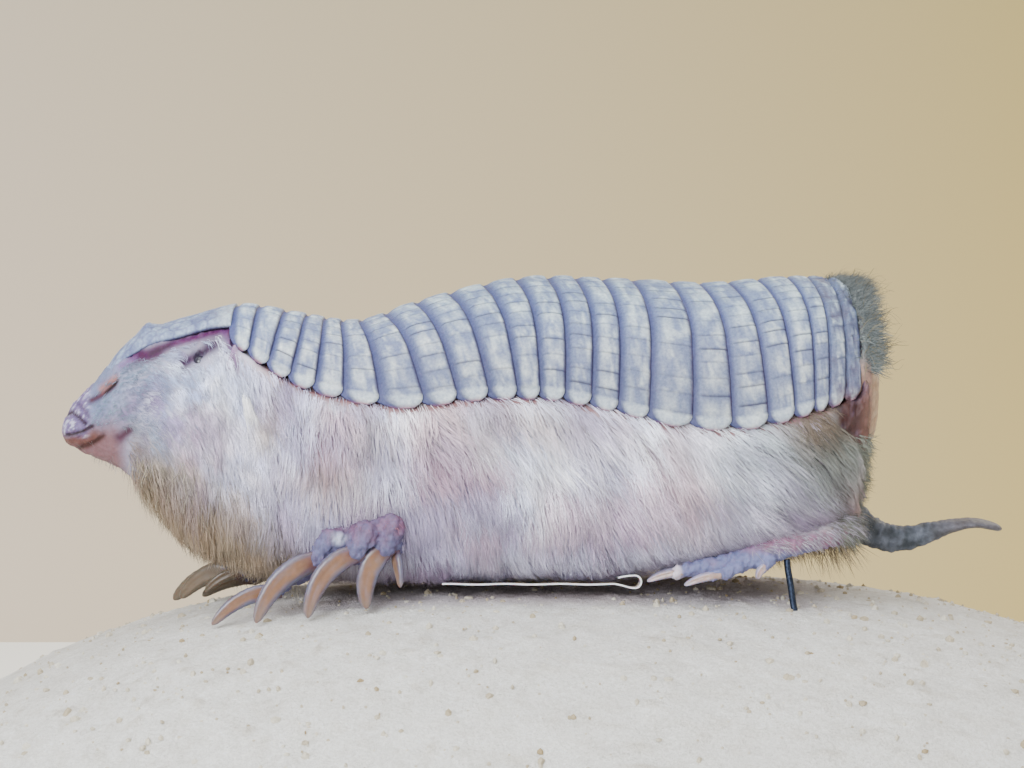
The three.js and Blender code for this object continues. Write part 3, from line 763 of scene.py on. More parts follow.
def skinDepth(x, share):
    below = belowShell(x, share)
    throat = 1 + 0.9 * smoothStep(0.6, 0.9, share) * smoothStep(-72, -62, x) * smoothStep(-38, -50, x)
    flank = coatDepthAt(x)[..., 0] * throat
    margin = np.minimum(0.9, flank)
    under = np.where(x < body["shieldRear"], 0.1 + 1.2 * smoothStep(-71.5, -69.0, x), 2.05)
    depth = mix(margin, flank, smoothStep(0.6, 5.0, below))
    return mix(mix(under, 0.7, smoothStep(35.2, 36.2, x)), depth, smoothStep(-1.3, 0.3, below))


skin = {
    "columns": 112, "headStep": 0.25, "trunkStep": 0.9,
    "eye": (-56.9, 67.2), "eyeTilt": 35.0,
    # paths on the side of the head: points (x, z), half width, depth, colour, how strongly it shows
    "lines": [
        ([(-77.3, 54.3), (-75.6, 54.5), (-74.0, 54.4), (-72.6, 55.2)], 0.80, -0.12, (88, 46, 34), 0.85),
        ([(-76.9, 55.2), (-76.0, 55.3), (-74.4, 55.8), (-72.9, 56.6)], 0.26, 0.35, (34, 12, 26), 1.0),
        ([(-75.2, 53.3), (-73.9, 53.7), (-72.5, 54.4), (-71.3, 55.2)], 0.34, 0.2, (44, 4, 0), 1.0),
        ([(-73.2, 60.2), (-72.0, 60.8), (-70.9, 61.5), (-69.6, 62.6)], 0.42, 0.45, (62, 20, 44), 1.0),
        ([(-71.6, 61.9), (-70.4, 62.8), (-69.5, 63.5)], 0.50, 0.05, (150, 92, 70), 0.75),
        ([(-71.0, 61.4), (-69.9, 62.3), (-69.1, 63.2)], 0.20, 0.3, (26, 8, 16), 1.0),
        ([(-77.4, 57.9), (-76.0, 58.5), (-74.9, 57.8), (-74.0, 56.9)], 0.30, 0.4, (40, 14, 34), 1.0),
        ([(-75.3, 59.8), (-74.2, 59.0), (-73.4, 57.8)], 0.25, 0.25, (70, 46, 82), 0.8),
        ([(-68.8, 55.0), (-67.2, 56.2)], 0.75, 0.3, (62, 26, 48), 1.0),
        ([(-68.0, 58.2), (-66.4, 60.2), (-64.6, 62.6), (-62.6, 64.0)], 0.9, 0.15, (120, 92, 138), 0.6),
        ([(-67.0, 66.8), (-65.6, 66.9), (-64.2, 67.1), (-62.8, 67.8), (-61.4, 68.4), (-59.6, 68.9),
          (-57.8, 69.4),
          (-56.0, 69.9), (-54.4, 70.3), (-52.8, 70.5)], 0.80, 0.40, (76, 0, 72), 1.0),
        ([(-66.4, 66.7), (-64.9, 66.7), (-63.4, 67.3)], 1.0, 0.15, (62, 0, 56), 0.95),
        ([(-64.2, 67.1), (-61.4, 68.3)], 0.40, 0.3, (44, 0, 40), 0.85),
        ([(-68.8, 65.2), (-67.0, 66.2)], 0.6, 0.15, (112, 78, 132), 0.7),
        ([(-59.4, 65.8), (-57.1, 67.0), (-54.9, 68.5)], 0.95, 0.45, (62, 30, 66), 1.0),
        ([(-53.6, 70.2), (-52.6, 68.6), (-51.9, 66.6), (-51.6, 65.4)], 0.6, 0.25, (96, 54, 106), 0.9),
        ([(-52.6, 70.0), (-50.7, 68.9), (-47.7, 66.1), (-45.3, 64.6), (-42.3, 63.9)], 0.34, 0.3,
         (80, 26, 20), 0.95),
    ],
    "fold": 10,  # the line that is the deep fold under the shield
    "ear": [(-52.6, 65.6), (-52.2, 67.2), (-51.6, 68.6)],
    "muzzle": (108, 118, 150), "cheek": (180, 182, 204), "chin": (112, 80, 86), "throat": (150, 134, 108),
    "flank": (204, 196, 208), "margin": (112, 52, 42), "rump": (62, 36, 36), "nose": (104, 90, 132),
        "noseHighlight": (190, 190, 214),
    "seat": (112, 112, 102), "rumpPatch": (104, 90, 120), "rumpRim": (104, 74, 66),
    "foreFoot": (88, 88, 122), "forePink": (112, 78, 104), "pad": (186, 194, 214),
        "hindFoot": (106, 112, 152),
    "hindPink": (146, 104, 128),
}


def rodPiece(start, startRadius, end, endRadius):
    start, end = Vector(start), Vector(end)
    along = end - start
    bpy.ops.mesh.primitive_cone_add(vertices=28, radius1=startRadius * mm, radius2=endRadius * mm,
                                    depth=along.length * mm, location=(start + end) / 2 * mm,
                                    rotation=along.to_track_quat("Z", "Y").to_euler())
    cone = bpy.context.object
    bpy.ops.object.transform_apply(location=True, rotation=True, scale=True)
    balls = [roundBall("joint", point, (size,) * 3, 3) for point,
             size in ((start, startRadius), (end, endRadius))]
    return [cone, *balls]


hands = {
    "left": {
        "wrist": (-31.5, -13.5, 44.5), "palm": (-34.9, -16.6, 41.0), "palmSize": (4.6, 2.7, 2.9),
        "claws": [((-46.2, -16.8, 34.3), (-54.4, -18.8), 2.4, 1.5, 1.1),
                  ((-39.9, -19.3, 38.9), (-48.0, -22.0), 3.3, 1.7, 1.7),
                  ((-34.6, -20.6, 40.0), (-40.8, -22.8), 3.2, 1.7, 1.7),
                  ((-30.5, -19.6, 40.4), (-32.8, -20.2), 3.3, 1.6, 1.2),
                  ((-28.9, -18.2, 39.8), (-28.2, -19.6, 35.2), 2.3, 1.3, 0.3)]},
    "right": {
        "wrist": (-43.5, 10.5, 38.5), "palm": (-48.8, 13.8, 35.0), "palmSize": (4.8, 3.6, 2.7),
        "claws": [((-53.2, 9.4, 33.9), (-58.4, 9.0, 31.0), 1.9, 1.4, 0.6),
                  ((-55.0, 12.4, 33.8), (-62.6, 13.6, 29.4), 3.1, 1.6, 1.1),
                  ((-55.2, 16.0, 33.2), (-64.2, 17.8, 28.6), 3.1, 1.6, 1.1),
                  ((-53.2, 19.0, 31.8), (-60.2, 21.4, 28.7), 2.4, 1.4, 0.7),
                  ((-49.6, 19.8, 32.0), (-52.4, 22.0, 30.4), 1.3, 1.0, 0.3)]},
}


def clawTip(tip):
    return tip if len(tip) == 3 else (*tip, moundHeight(*tip) + 0.7)


def handPieces(hand):
    palm = hand["palm"]
    pieces = rodPiece(hand["wrist"], 3.1, palm, 2.7) + [roundBall("palm", palm, hand["palmSize"], 4)]
    for root, tip, deep, thick, bend in hand["claws"]:
        start, end = np.array(root), np.array(clawTip(tip))
        back = (start - end) / np.linalg.norm(start - end)
        knuckle = start + back * 2.4 + np.array([0.4, 0, 0.9])
        size = deep / 2
        pieces += rodPiece(palm, size + 0.3, knuckle, size + 0.25)
        pieces += rodPiece(knuckle, size + 0.25, start + back * 0.35 * size, 0.8 * size + 0.1)
    return pieces


hindFoot = {
    "line": [(33.5, -13.5, 43.2), (26.0, -17.4, 41.0), (20.6, -18.2, 39.3), (15.4, -17.8, 37.6)],
    "sizes": [2.5, 1.75, 1.5, 1.35],
    "toes": [((13.6, -13.0, 37.3), (12.0, -12.4, 36.9), (9.2, -12.0, 36.0), 1.0),
             ((12.4, -15.0, 37.4), (10.4, -14.8, 36.9), (6.6, -14.6, 35.9), 1.3),
             ((12.2, -17.8, 37.6), (9.8, -18.0, 37.0), (6.0, -18.2, 35.9), 1.4),
             ((16.8, -19.8, 37.4), (15.0, -20.5, 36.9), (11.0, -21.0, 35.7), 1.3),
             ((22.8, -19.2, 39.0), (22.2, -19.4, 38.0), (21.2, -19.6, 36.4), 1.0)],
}


def mirrored(point, side):
    return (point[0], -side * point[1], point[2])


def hindPieces(side):
    line = [mirrored(p, side) for p in hindFoot["line"]]
    sizes = hindFoot["sizes"]
    pieces = []
    for i in range(3):
        pieces += rodPiece(line[i], sizes[i], line[i + 1], sizes[i + 1])
    for n, (bend, root, tip, wide) in enumerate(hindFoot["toes"]):
        bend, root = mirrored(bend, side), mirrored(root, side)
        if n < 4:
            pieces += rodPiece(line[2], 1.25, bend, 1.0)
        pieces += rodPiece(bend, 1.0, root, 0.78)
    return pieces


def limbMesh(name, pieces, voxel):
    limb = join(name, pieces)
    apply(limb, "REMESH", mode="VOXEL", voxel_size=voxel * mm)
    apply(limb, "SMOOTH", factor=0.5, iterations=5)
    points = coordinates(limb)
    out = normals(limb)
    folds = 0.28 * relief(points, 0.8, 4, 4) + 0.26 * relief(points * np.array([1.6, 0.6, 0.6]), 1.2, 2, 8)
    moveTo(limb, points + out * folds[:, None])
    return limb


def stroke(points, path, width):
    flat = np.column_stack([points[:, 0], np.zeros(len(points)), points[:, 2]])
    return np.exp(-(nearPath(flat, [(x, 0, z) for x, z in path]) / width) ** 2)


def eyeShare(points):
    tilt = math.radians(skin["eyeTilt"])
    x, z = points[:, 0] - skin["eye"][0], points[:, 2] - skin["eye"][1]
    along, across = x * math.cos(tilt) + z * math.sin(tilt), z * math.cos(tilt) - x * math.sin(tilt)
    return np.hypot(along / 0.95, across / 0.46)


# height of the face's folds, lids and wrinkles above the plain skin
def faceRelief(points):
    x, y, z = points.T
    height = np.zeros(len(points))
    for path, width, depth, *rest in skin["lines"]:
        height -= depth * stroke(points, path, width)
    q = eyeShare(points)
    height += 0.26 * np.exp(-((q - 1.5) / 0.4) ** 2) - 1.1 * np.sqrt(np.clip(1 - q ** 2, 0, 1))
    height += 0.65 * stroke(points, skin["ear"], 0.38)
    ahead = [(px - 0.8, pz) for px, pz in skin["ear"]]
    height -= 0.4 * stroke(points, ahead, 0.4)
    nostril = np.linalg.norm(points - np.stack([np.full(len(x), -76.9), np.sign(y) * 1.75,
                                                np.full(len(x), 55.6)], 1), axis=1)
    height += 0.16 * np.exp(-((nostril - 0.75) / 0.25) ** 2) - 0.9 * np.exp(-(nostril / 0.42) ** 2)
    pad = smoothStep(-72.8, -74.2, x) * smoothStep(54.2, 55.2, z)
    height += pad * (0.34 * relief(points, 0.7, 4, 2) + 0.16)
    snout = smoothStep(-66, -71, x) * (1 - pad)
    height += snout * 0.20 * relief(points, 0.9, 4, 6)
    fold = stroke(points, skin["lines"][skin["fold"]][0], 1.3)
    height += 0.25 * fold * relief(points, 0.7, 3, 18)
    height += 0.10 * smoothStep(-45, -60, x) * relief(points, 2.6, 2, 12)
    # wrinkled bare skin behind the last bands
    height += 0.7 * rumpSkin(points) * (relief(points * np.array([0.8, 1, 1]), 1.3, 4, 14) - 0.15)
    return height


def rumpSkin(points):
    x, z = points[:, 0], points[:, 2]
    return smoothStep(31.0, 33.0, x) * smoothStep(54.5, 57.0, z + 0.9 * (x - 34.0))


def skinShade(points):
    x, y, z = points.T
    c = coloursOf(skin)
    back = bodyAt(x)[:, 0]
    low = 1 - smoothStep(0.25, 0.6, (z - bodyAt(x)[:, 2]) / (back - bodyAt(x)[:, 2]))
    shade = mix(c["muzzle"], c["cheek"], smoothStep(-72, -62, x))
    shade = mix(shade, c["flank"], smoothStep(-56, -46, x))
    shade = mix(shade, c["throat"], low * smoothStep(-69, -63, x) * smoothStep(-42, -52, x) * 0.7)
    chin = low * smoothStep(-66, -70, x)
    shade = mix(shade, c["chin"], chin)
    pad = smoothStep(-72.8, -74.2, x) * smoothStep(54.2, 55.2, z)
    shade = mix(shade, c["nose"], pad)
    # painted highlights on the nose pad's ridges
    ridge = np.clip(1.8 * relief(points, 0.7, 4, 2), 0, 0.8)
    shade = mix(shade, c["noseHighlight"], pad * ridge)
    edge = shellEdgeAt(x)[:, 0]
    margin = np.exp(-((z - edge + 0.4) / 0.9) ** 2) * smoothStep(-50, -46, x)
    shade = mix(shade, c["margin"], 0.85 * margin)
    spots = 0.5 + 0.5 * relief(points, 1.6, 3, 31)
    bare = mix(c["rump"], c["rumpPatch"], np.clip(smoothStep(60, 64, z) * 1.2 + spots - 0.6, 0, 1))
    bare = mix(bare, c["rumpRim"], np.clip(smoothStep(34.8, 36.4, x) * spots * 1.4, 0, 0.9))
    shade = mix(shade, c["seat"], smoothStep(29.0, 33.0, x))
    shade = mix(shade, bare, rumpSkin(points))
    for path, width, depth, colour, show in skin["lines"]:
        shade = mix(shade, linear(*colour), show * stroke(points, path, width * 1.15))
    ear = stroke(points, skin["ear"], 0.8)
    shade = mix(shade, linear(150, 118, 158), 0.7 * ear)
    q = eyeShare(points)
    shade = mix(shade, linear(46, 32, 54), np.exp(-((q - 0.9) / 0.5) ** 2))
    nostril = np.linalg.norm(points - np.stack([np.full(len(x), -76.9), np.sign(y) * 1.75,
                                                np.full(len(x), 55.6)], 1), axis=1)
    shade = mix(shade, linear(58, 30, 34), np.exp(-(nostril / 0.55) ** 2))
    hand = np.full(len(x), 1e9)
    for one in hands.values():
        for root, *rest in one["claws"]:
            hand = np.minimum(hand, nearPath(points, [one["wrist"], one["palm"], root]))
    pink = np.clip(spots * 0.9 - 0.45 + 0.6 * smoothStep(40.5, 43.5, z), 0, 0.9)
    fore = mix(c["foreFoot"], c["forePink"], pink)
    pad = np.linalg.norm((points - np.array([-36.8, -19.8, 42.0])) * np.array([0.8, 1, 1.1]), axis=1)
    wrinkle = 0.5 + 0.5 * relief(points * np.array([1.4, 1, 0.8]), 0.6, 3, 37)
    fore = fore * (0.62 + 0.8 * wrinkle)[:, None]
    fore = mix(fore, c["pad"], 0.75 * np.exp(-(pad / 1.0) ** 3))
    shade = mix(shade, fore, smoothStep(6.4, 5.4, hand) * smoothStep(-25, -27, x))
    hind = np.minimum(nearPath(points, hindFoot["line"]),
                      nearPath(points, [mirrored(p, 1) for p in hindFoot["line"]]))
    foot = smoothStep(43.5, 42.0, z) * smoothStep(5.2, 4.4, hind) * smoothStep(3, 5, x)
    pink = np.clip(smoothStep(39.4, 41.2, z) * 0.9 + 0.6 * (spots - 0.5), 0, 1)
    pale = mix(c["hindFoot"], c["hindPink"], pink)
    return mix(shade, pale, foot)


def buildSkin():
    ends = np.array([0.0, 0.02, 0.06, 0.13, 0.22, 0.34])
    xs = np.concatenate([-78 + ends, np.arange(-77.5, -49, skin["headStep"]),
                         np.arange(-49, 31.6, skin["trunkStep"]), np.linspace(31.8, 37.0, 32),
                         37.4 - ends[::-1]])
    half = skin["columns"]
    shares = np.concatenate([np.linspace(0, 1, half + 1), np.linspace(1, 0, half + 1)[1:-1]])
    sides = np.concatenate([np.ones(half + 1), -np.ones(half - 1)])
    x, share = np.meshgrid(xs, shares, indexing="ij")
    side = np.broadcast_to(sides, x.shape)
    depth = skinDepth(x, share)
    plain = sidePoint(x, share, side, -depth)
    height = faceRelief(plain.reshape(-1, 3)).reshape(x.shape)
    swell = relief(plain.reshape(-1, 3), 4.0, 2, 15).reshape(x.shape)
    height = height + 0.22 * swell * smoothStep(-50, -40, x)
    points = sidePoint(x, share, side, height - depth)
    front = np.sqrt(np.clip(1 - ((-77.0 - x) / 1.0) ** 2, 0, 1)) * (x < -77) + (x >= -77)
    close = mix(34.0, 36.3, smoothStep(52, 57, plain[..., 2]))
    rear = np.clip(1 - np.clip((x - close) / (37.4 - close), 0, 1) ** 3, 0, 1) ** 0.33
    middle = np.stack([x, 0 * x, bodyAt(x)[..., 1]], -1)
    points = middle + (points - middle) * (front * rear)[..., None]
    trunk = loft("skin", points[1:-1])
    limbs = [limbMesh(f"limb_{side}", handPieces(hand), 0.25) for side, hand in hands.items()]
    limbs += [limbMesh(f"hind_{side}", hindPieces(side), 0.24) for side in (-1, 1)]
    for limb in limbs:
        apply(trunk, "BOOLEAN", operation="UNION", solver="MANIFOLD", object=limb)
        bpy.data.objects.remove(limb)
    trunk.data.polygons.foreach_set("use_smooth", np.full(len(trunk.data.polygons), True))
    paint(trunk, "tint", skinShade(coordinates(trunk)))
    finish(trunk, "skin", "skin", "head", "neck", "chest", "belly", "rump", "ear_left", "ear_right",
           "foreleg_left", "foreleg_right", "hindleg_left", "hindleg_right")
    print("skin", len(trunk.data.polygons))
    return trunk


skinPiece = buildSkin()


def eyeMaterial():
    material, nodes, links, shader = newMaterial("eye")
    setSockets(shader, {"Base Color": (*linear(30, 28, 44), 1), "Roughness": 0.22, "Coat Weight": 0.3,
                        "Coat Roughness": 0.1})
    return material


materials["eye"] = eyeMaterial()


def buildEyes():
    x, z = skin["eye"]
    angle = angleAt(np.array([x]), np.array([z]))
    for name, side in (("left", -1), ("right", 1)):
        at, out = (bodyPoint(np.array([x]), angle, grow)[0] for grow in (-0.8, 0.2))
        normal = (out - at) / np.linalg.norm(out - at)
        centre = (at - normal * 1.2) * np.array([1, side, 1])
        ball = roundBall(f"eye_bead_{name}", centre, (0.95, 0.95, 0.95), 4)
        bpy.ops.object.shade_smooth()
        finish(ball, "eye", "eye", f"eye_{name}")


shell = {
    "front": -52.6, "rear": 36.1, "tab": 2.0, "scute": 2.5,
    "widths": [3.3, 3.7, 3.4, 3.0, 2.9, 3.2, 4.3, 4.8, 4.9, 5.0, 4.7, 4.6,
               4.0, 3.9, 4.4, 5.5, 4.3, 4.2, 4.2, 4.0, 2.6, 2.4, 2.1],
    "rows": [-0.16, -0.04, 0.06, 0.13, 0.19, 0.25, 0.31, 0.37, 0.44, 0.52, 0.62, 0.72, 0.82, 0.90, 0.95,
             0.98, 1.0],
    "valley": (70, 76, 120), "raised": (118, 130, 160), "paleWearAndHighlight": (198, 208, 210), "line": (30, 26, 56),
    "rim": (50, 38, 78), "tabEdge": (124, 70, 92), "lastUpper": (84, 92, 118), "lastLower": (92, 56, 62),
    "shieldColour": (106, 118, 152), "shieldLine": (84, 84, 126), "shieldPale": (150, 166, 190),
}


def archLength(along):
    path = shellPoint(along, np.linspace(0, 1, 80), 0)
    return np.linalg.norm(np.diff(path, axis=0), axis=1).sum()


def buildBand(number, front, rear):
    middle = (front + rear) / 2
    halfArch = archLength(middle) / 2
    inner = 1 - shell["tab"] / halfArch
    # furrows between scutes, each with points close beside it
    furrows = np.arange(-halfArch + shell["tab"] * 0.75, halfArch - 1.2, shell["scute"])
    furrows = furrows + rng.uniform(-0.35, 0.35, len(furrows)) + rng.uniform(-0.8, 0.8)
    strength = (0.3 + 0.7 * rng.random(len(furrows)) ** 1.6) * (rng.random(len(furrows)) > 0.08)
    spread = (furrows[:, None] + np.array([-0.75, -0.3, -0.12, 0, 0.12, 0.3])).ravel()
    ends = inner + (1 - inner) * np.sin(np.linspace(0, 1, 8) * math.pi / 2)
    place = np.concatenate([-ends[::-1], spread[np.abs(spread) < inner * halfArch - 0.2] / halfArch, ends])
    place = np.unique(np.round(place, 6))
    past = np.clip((np.abs(place) - inner) / (1 - inner), 0, 1)[:, None]
    narrow = np.maximum(0.40, np.sqrt(1 - past ** 2.5))
    rows = np.array(shell["rows"])[None]
    gaps = np.abs(place[:, None] * halfArch - furrows)
    near = gaps.argmin(1)
    furrow = (np.exp(-(gaps.min(1) / 0.14) ** 2) * strength[near])[:, None]
    flush = smoothStep(13, 18, number)  # the rearmost bands lie nearly level
    raised = smoothStep(0.05, mix(0.33, 0.2, flush), rows)
    deep = mix(0.36, 0.62, smoothStep(0.25, 0.6, np.abs(place)))[:, None] * mix(1, 0.75, flush)
    height = -deep * (1 - raised) + 0.10 * np.sin(math.pi * np.clip((rows - 0.24) / 0.76, 0, 1))
    height = height - 0.30 * smoothStep(0.92, 1.0, rows) - 0.4 * smoothStep(0.7, 1.0, past)
    height = height - 0.17 * furrow * raised * smoothStep(1.0, 0.95, rows) + 0 * past
    tip = smoothStep(0.5, 0.85, 1 - np.abs(np.abs(place[:, None]) * halfArch - halfArch + 1.9) / 0.6)
    height = height - 0.12 * tip * raised
    along = middle + (rows - 0.5) * (rear - front) * narrow
    share = (place[:, None] + 1) / 2 + 0 * rows
    outer = shellPoint(along, share, height)
    wear = 0.5 + 0.5 * relief(outer.reshape(-1, 3) + number * 7.0, 2.3, 4, 41).reshape(height.shape)
    rubbed = relief(outer.reshape(-1, 3) * np.array([1.5, 0.45, 0.45]) + number * 3.0, 0.9, 3,
                    43).reshape(height.shape)
    rough = 0.16 + 0.9 * smoothStep(21.5, 23, number)
    outward = shellPoint(along, share, 1.0) - shellPoint(along, share, 0.0)
    outer = outer + (wear - 0.5)[..., None] * rough * outward
    under = []
    for row, depth in ((0.99, -0.58), (0.80, -1.2), (0.3, -1.3), (-0.14, -1.35)):
        inward = middle + (row - 0.5) * (rear - front) * narrow[:, 0]
        under.append(shellPoint(inward, (place + 1) / 2, depth))
    rings = np.concatenate([outer, np.stack(under, 1)], axis=1)
    piece = loft(f"shell_band_{number:02d}", rings)
    # the sunken front part of each band: its own bluish colour, darkened as painted shade under the band
    # before it
    tint = mix(linear(*shell["valley"]), linear(*shell["raised"]), raised)
    tint = mix(tint, linear(*shell["paleWearAndHighlight"]), np.clip(smoothStep(0.2, 0.45, rows)
                                                     * (wear * 1.9 - 0.62 + 0.7 * rubbed), 0, 0.95))
    # painted shade and light: darker low on the sides, brighter on the front bands, and a painted bluish
    # light on the top
    tint = tint * mix(0.72, 1.0, smoothStep(62, 75, outer[..., 2]))[..., None]
    tint = tint * mix(1.22, 0.97, smoothStep(-44, -14, outer[..., 0]))[..., None]
    tint = tint * mix((1.02, 0.99, 1.0), (0.90, 0.99, 1.03), smoothStep(66, 77, outer[..., 2]))
    tint = mix(tint, linear(*shell["line"]), 0.95 * furrow * smoothStep(0.1, 0.3, rows))
    # the dark rear edge of each band: its own edge line, deepened as painted shade where it turns under
    tint = mix(tint, linear(*shell["rim"]), 0.85 * smoothStep(0.92, 0.985, rows))
    tint = mix(tint, linear(*shell["paleWearAndHighlight"]), 0.5 * smoothStep(0.02, 0.3, past) * raised)
    tint = mix(tint, linear(*shell["tabEdge"]), 0.8 * smoothStep(0.82, 0.98, past))
    last = smoothStep(20.5, 23, number)
    flesh = mix(linear(*shell["lastLower"]), linear(*shell["lastUpper"]),
                smoothStep(59, 65, outer[..., 2]) + 0.6 * (wear - 0.5))
    tint = mix(tint, flesh, np.clip(last * (1.3 - 0.8 * wear - rubbed), 0, 1))
    colours = np.broadcast_to(linear(*shell["rim"]), rings.shape).copy()
    colours[:, :rows.size] = tint
    flat = np.concatenate([colours.reshape(-1, 3), colours[0].mean(0)[None], colours[-1].mean(0)[None]])
    paint(piece, "tint", flat)
    return finish(piece, "shell", "shell", f"band_{number:02d}")


def buildBands():
    widths = np.array(shell["widths"])
    reach = np.concatenate([[0], np.cumsum(widths)]) / widths.sum()
    edges = shell["front"] + reach * (shell["rear"] - shell["front"])
    for n in range(len(widths)):
        buildBand(n + 1, edges[n], edges[n + 1])


# irregular scutes: how near a place is to the border between the two nearest centres
def scuteBorder(flat, spacing, seed):
    local = np.random.default_rng(seed)
    low, high = flat.min(0) - 2, flat.max(0) + 2
    xs, ys = np.meshgrid(np.arange(low[0], high[0], spacing), np.arange(low[1], high[1], spacing),
                         indexing="ij")
    xs = xs + spacing / 2 * (np.arange(ys.shape[1]) % 2)[None]
    centres = np.stack([xs.ravel(), ys.ravel()], 1) + local.uniform(-0.26, 0.26, (xs.size, 2)) * spacing
    tree = KDTree(len(centres))
    for i, c in enumerate(centres):
        tree.insert((c[0], c[1], 0), i)
    tree.balance()
    borders = []
    for place in flat:
        near = tree.find_n((place[0], place[1], 0), 2)
        borders.append(near[1][2] - near[0][2])
    return np.array(borders)


def buildHeadShield():
    v = np.concatenate([[0, 0.006, 0.015], np.linspace(0.03, 1, 118)])[:, None]
    u = np.linspace(0, 1, 97)[None]
    share = 2 * u - 1
    x = body["shieldFront"] + 1.8 * share ** 2
    x = x + (body["shieldRear"] - x) * v
    low = angleAt(x, bodyAt(x)[..., 0] - shieldEdgeAt(x)[..., 0])
    angle = low + (math.pi - 2 * low) * u
    plain = bodyPoint(x, angle, 0.0)
    flat = np.stack([plain[..., 0].ravel(), plain[..., 1].ravel()], 1)
    border = scuteBorder(flat, 1.75, 5).reshape(x.shape)
    furrow = np.exp(-(border / 0.28) ** 2)
    wear = relief(plain.reshape(-1, 3), 1.9, 4, 51).reshape(x.shape)
    rim = np.minimum(smoothStep(0, 0.03, v), smoothStep(0, 0.05, np.minimum(u, 1 - u)))
    height = 0.1 - 0.45 * (1 - rim) - 0.08 * furrow * rim + 0.10 * wear - 0.4 * smoothStep(0.14, 0.0, v)
    knob = np.exp(-((plain[..., 0] + 65.6) / 0.95) ** 2) * np.exp(-(plain[..., 1] / 4.2) ** 4)
    dent = np.exp(-((plain[..., 0] + 63.2) / 1.2) ** 2) * np.exp(-(plain[..., 1] / 4.2) ** 4)
    height = height + 0.7 * knob - 0.3 * dent
    outer = bodyPoint(x, angle, height)
    inside = bodyPoint(x, angle, -1.0 + 0 * x)[:, ::-1]
    piece = loft("head_shield_scutes", np.concatenate([outer, inside], 1))
    base = mix(linear(*shell["shieldColour"]), linear(*shell["shieldPale"]), np.clip(0.45 + wear, 0, 1))
    base = mix(base, linear(*shell["shieldLine"]), 0.55 * furrow)
    # painted highlight: the rear part of the shield is paler
    base = mix(base, linear(*shell["paleWearAndHighlight"]), 0.5 * smoothStep(0.8, 1, v))
    paintRings(piece, np.concatenate([base, np.broadcast_to(linear(*shell["rim"]), inside.shape)], 1))
    finish(piece, "shell", "shell", "head_shield")


rump = {
    "x": 36.9, "z": 65.0, "halfWidth": 17.8, "up": 12.2, "down": 12.4, "bulge": 1.0, "lean": 0.045,
    "thickness": 1.2, "rows": 1.75,
    "colour": (172, 142, 112), "pale": (196, 176, 148), "line": (124, 92, 74), "rim": (144, 112, 98),
    "hidden": (92, 98, 98),
}


def buildRumpShield():
    r = rump
    turn = (np.arange(180) * 2 * math.pi / 180)[None]
    share = np.concatenate([np.linspace(0.01, 0.97, 66), [0.985, 0.996, 1.0]])[:, None]
    up = np.where(np.sin(turn) > 0, r["up"], r["down"])
    rise = up * share * signedPower(np.sin(turn), 0.92)
    side = r["halfWidth"] * share * signedPower(np.cos(turn), 0.92)
    out = share * 13.5
    ring = np.abs((out / r["rows"]) % 1 - 0.5) * 2 * r["rows"]
    number = np.floor(out / r["rows"] + 0.5)
    pieces = np.maximum(1, np.round(2 * math.pi * number * r["rows"] / 1.9))
    spoke = np.abs((turn / (2 * math.pi) * pieces + number * 0.37) % 1 - 0.5) * 2
    spoke = (1 - spoke) * math.pi * np.maximum(out, 0.5) / pieces
    furrow = np.maximum(np.exp(-(((r["rows"] - ring)) / 0.24) ** 2),
                        np.exp(-(spoke / 0.2) ** 2) * (number > 0))
    depth = r["thickness"] - 1.1 * smoothStep(0.82, 1.0, share) ** 1.4 - 0.10 * furrow
    x = r["x"] + r["bulge"] * (1 - share ** 2) - r["lean"] * rise
    outer = np.stack([x + depth, side, r["z"] + rise], -1)
    wear = relief(outer.reshape(-1, 3), 2.2, 4, 61).reshape(x.shape)
    outer[..., 0] += 0.08 * wear
    inside = np.stack([x - mix(2.3, 0.2, smoothStep(-0.2, 0.5, np.sin(turn))), side, r["z"] + rise], -1)
    inside = inside[::-1][[0, 20, 45, 68]]
    piece = loft("rump_shield_scutes", np.concatenate([outer, inside]))
    tint = mix(linear(*r["colour"]), linear(*r["pale"]), np.clip(0.35 + wear, 0, 1))
    tint = mix(tint, linear(*r["line"]), 0.6 * furrow)
    tint = mix(tint, linear(*r["rim"]), smoothStep(0.9, 1, share))
    covered = smoothStep(64.5, 68.0, outer[..., 2]) * smoothStep(0.86, 0.95, share)
    tint = mix(tint, linear(*r["hidden"]), covered)
    within = mix(linear(*r["rim"]), linear(*r["hidden"]), smoothStep(64.5, 68.0, inside[..., 2]))
    paintRings(piece, np.concatenate([tint, within]))
    finish(piece, "shell", "shell", "rump_shield")


buildEyes()
buildBands()
buildHeadShield()
buildRumpShield()
print("shell")


claws = {"middle": (118, 84, 60), "edge": (84, 84, 106), "root": (84, 52, 62), "tip": (120, 108, 104),
         "farShadedMiddle": (92, 72, 50), "farShadedEdge": (84, 76, 64), "hindMiddle": (160, 136, 128),
         "hindEdge": (150, 148, 176), "stations": 34, "sides": 24}


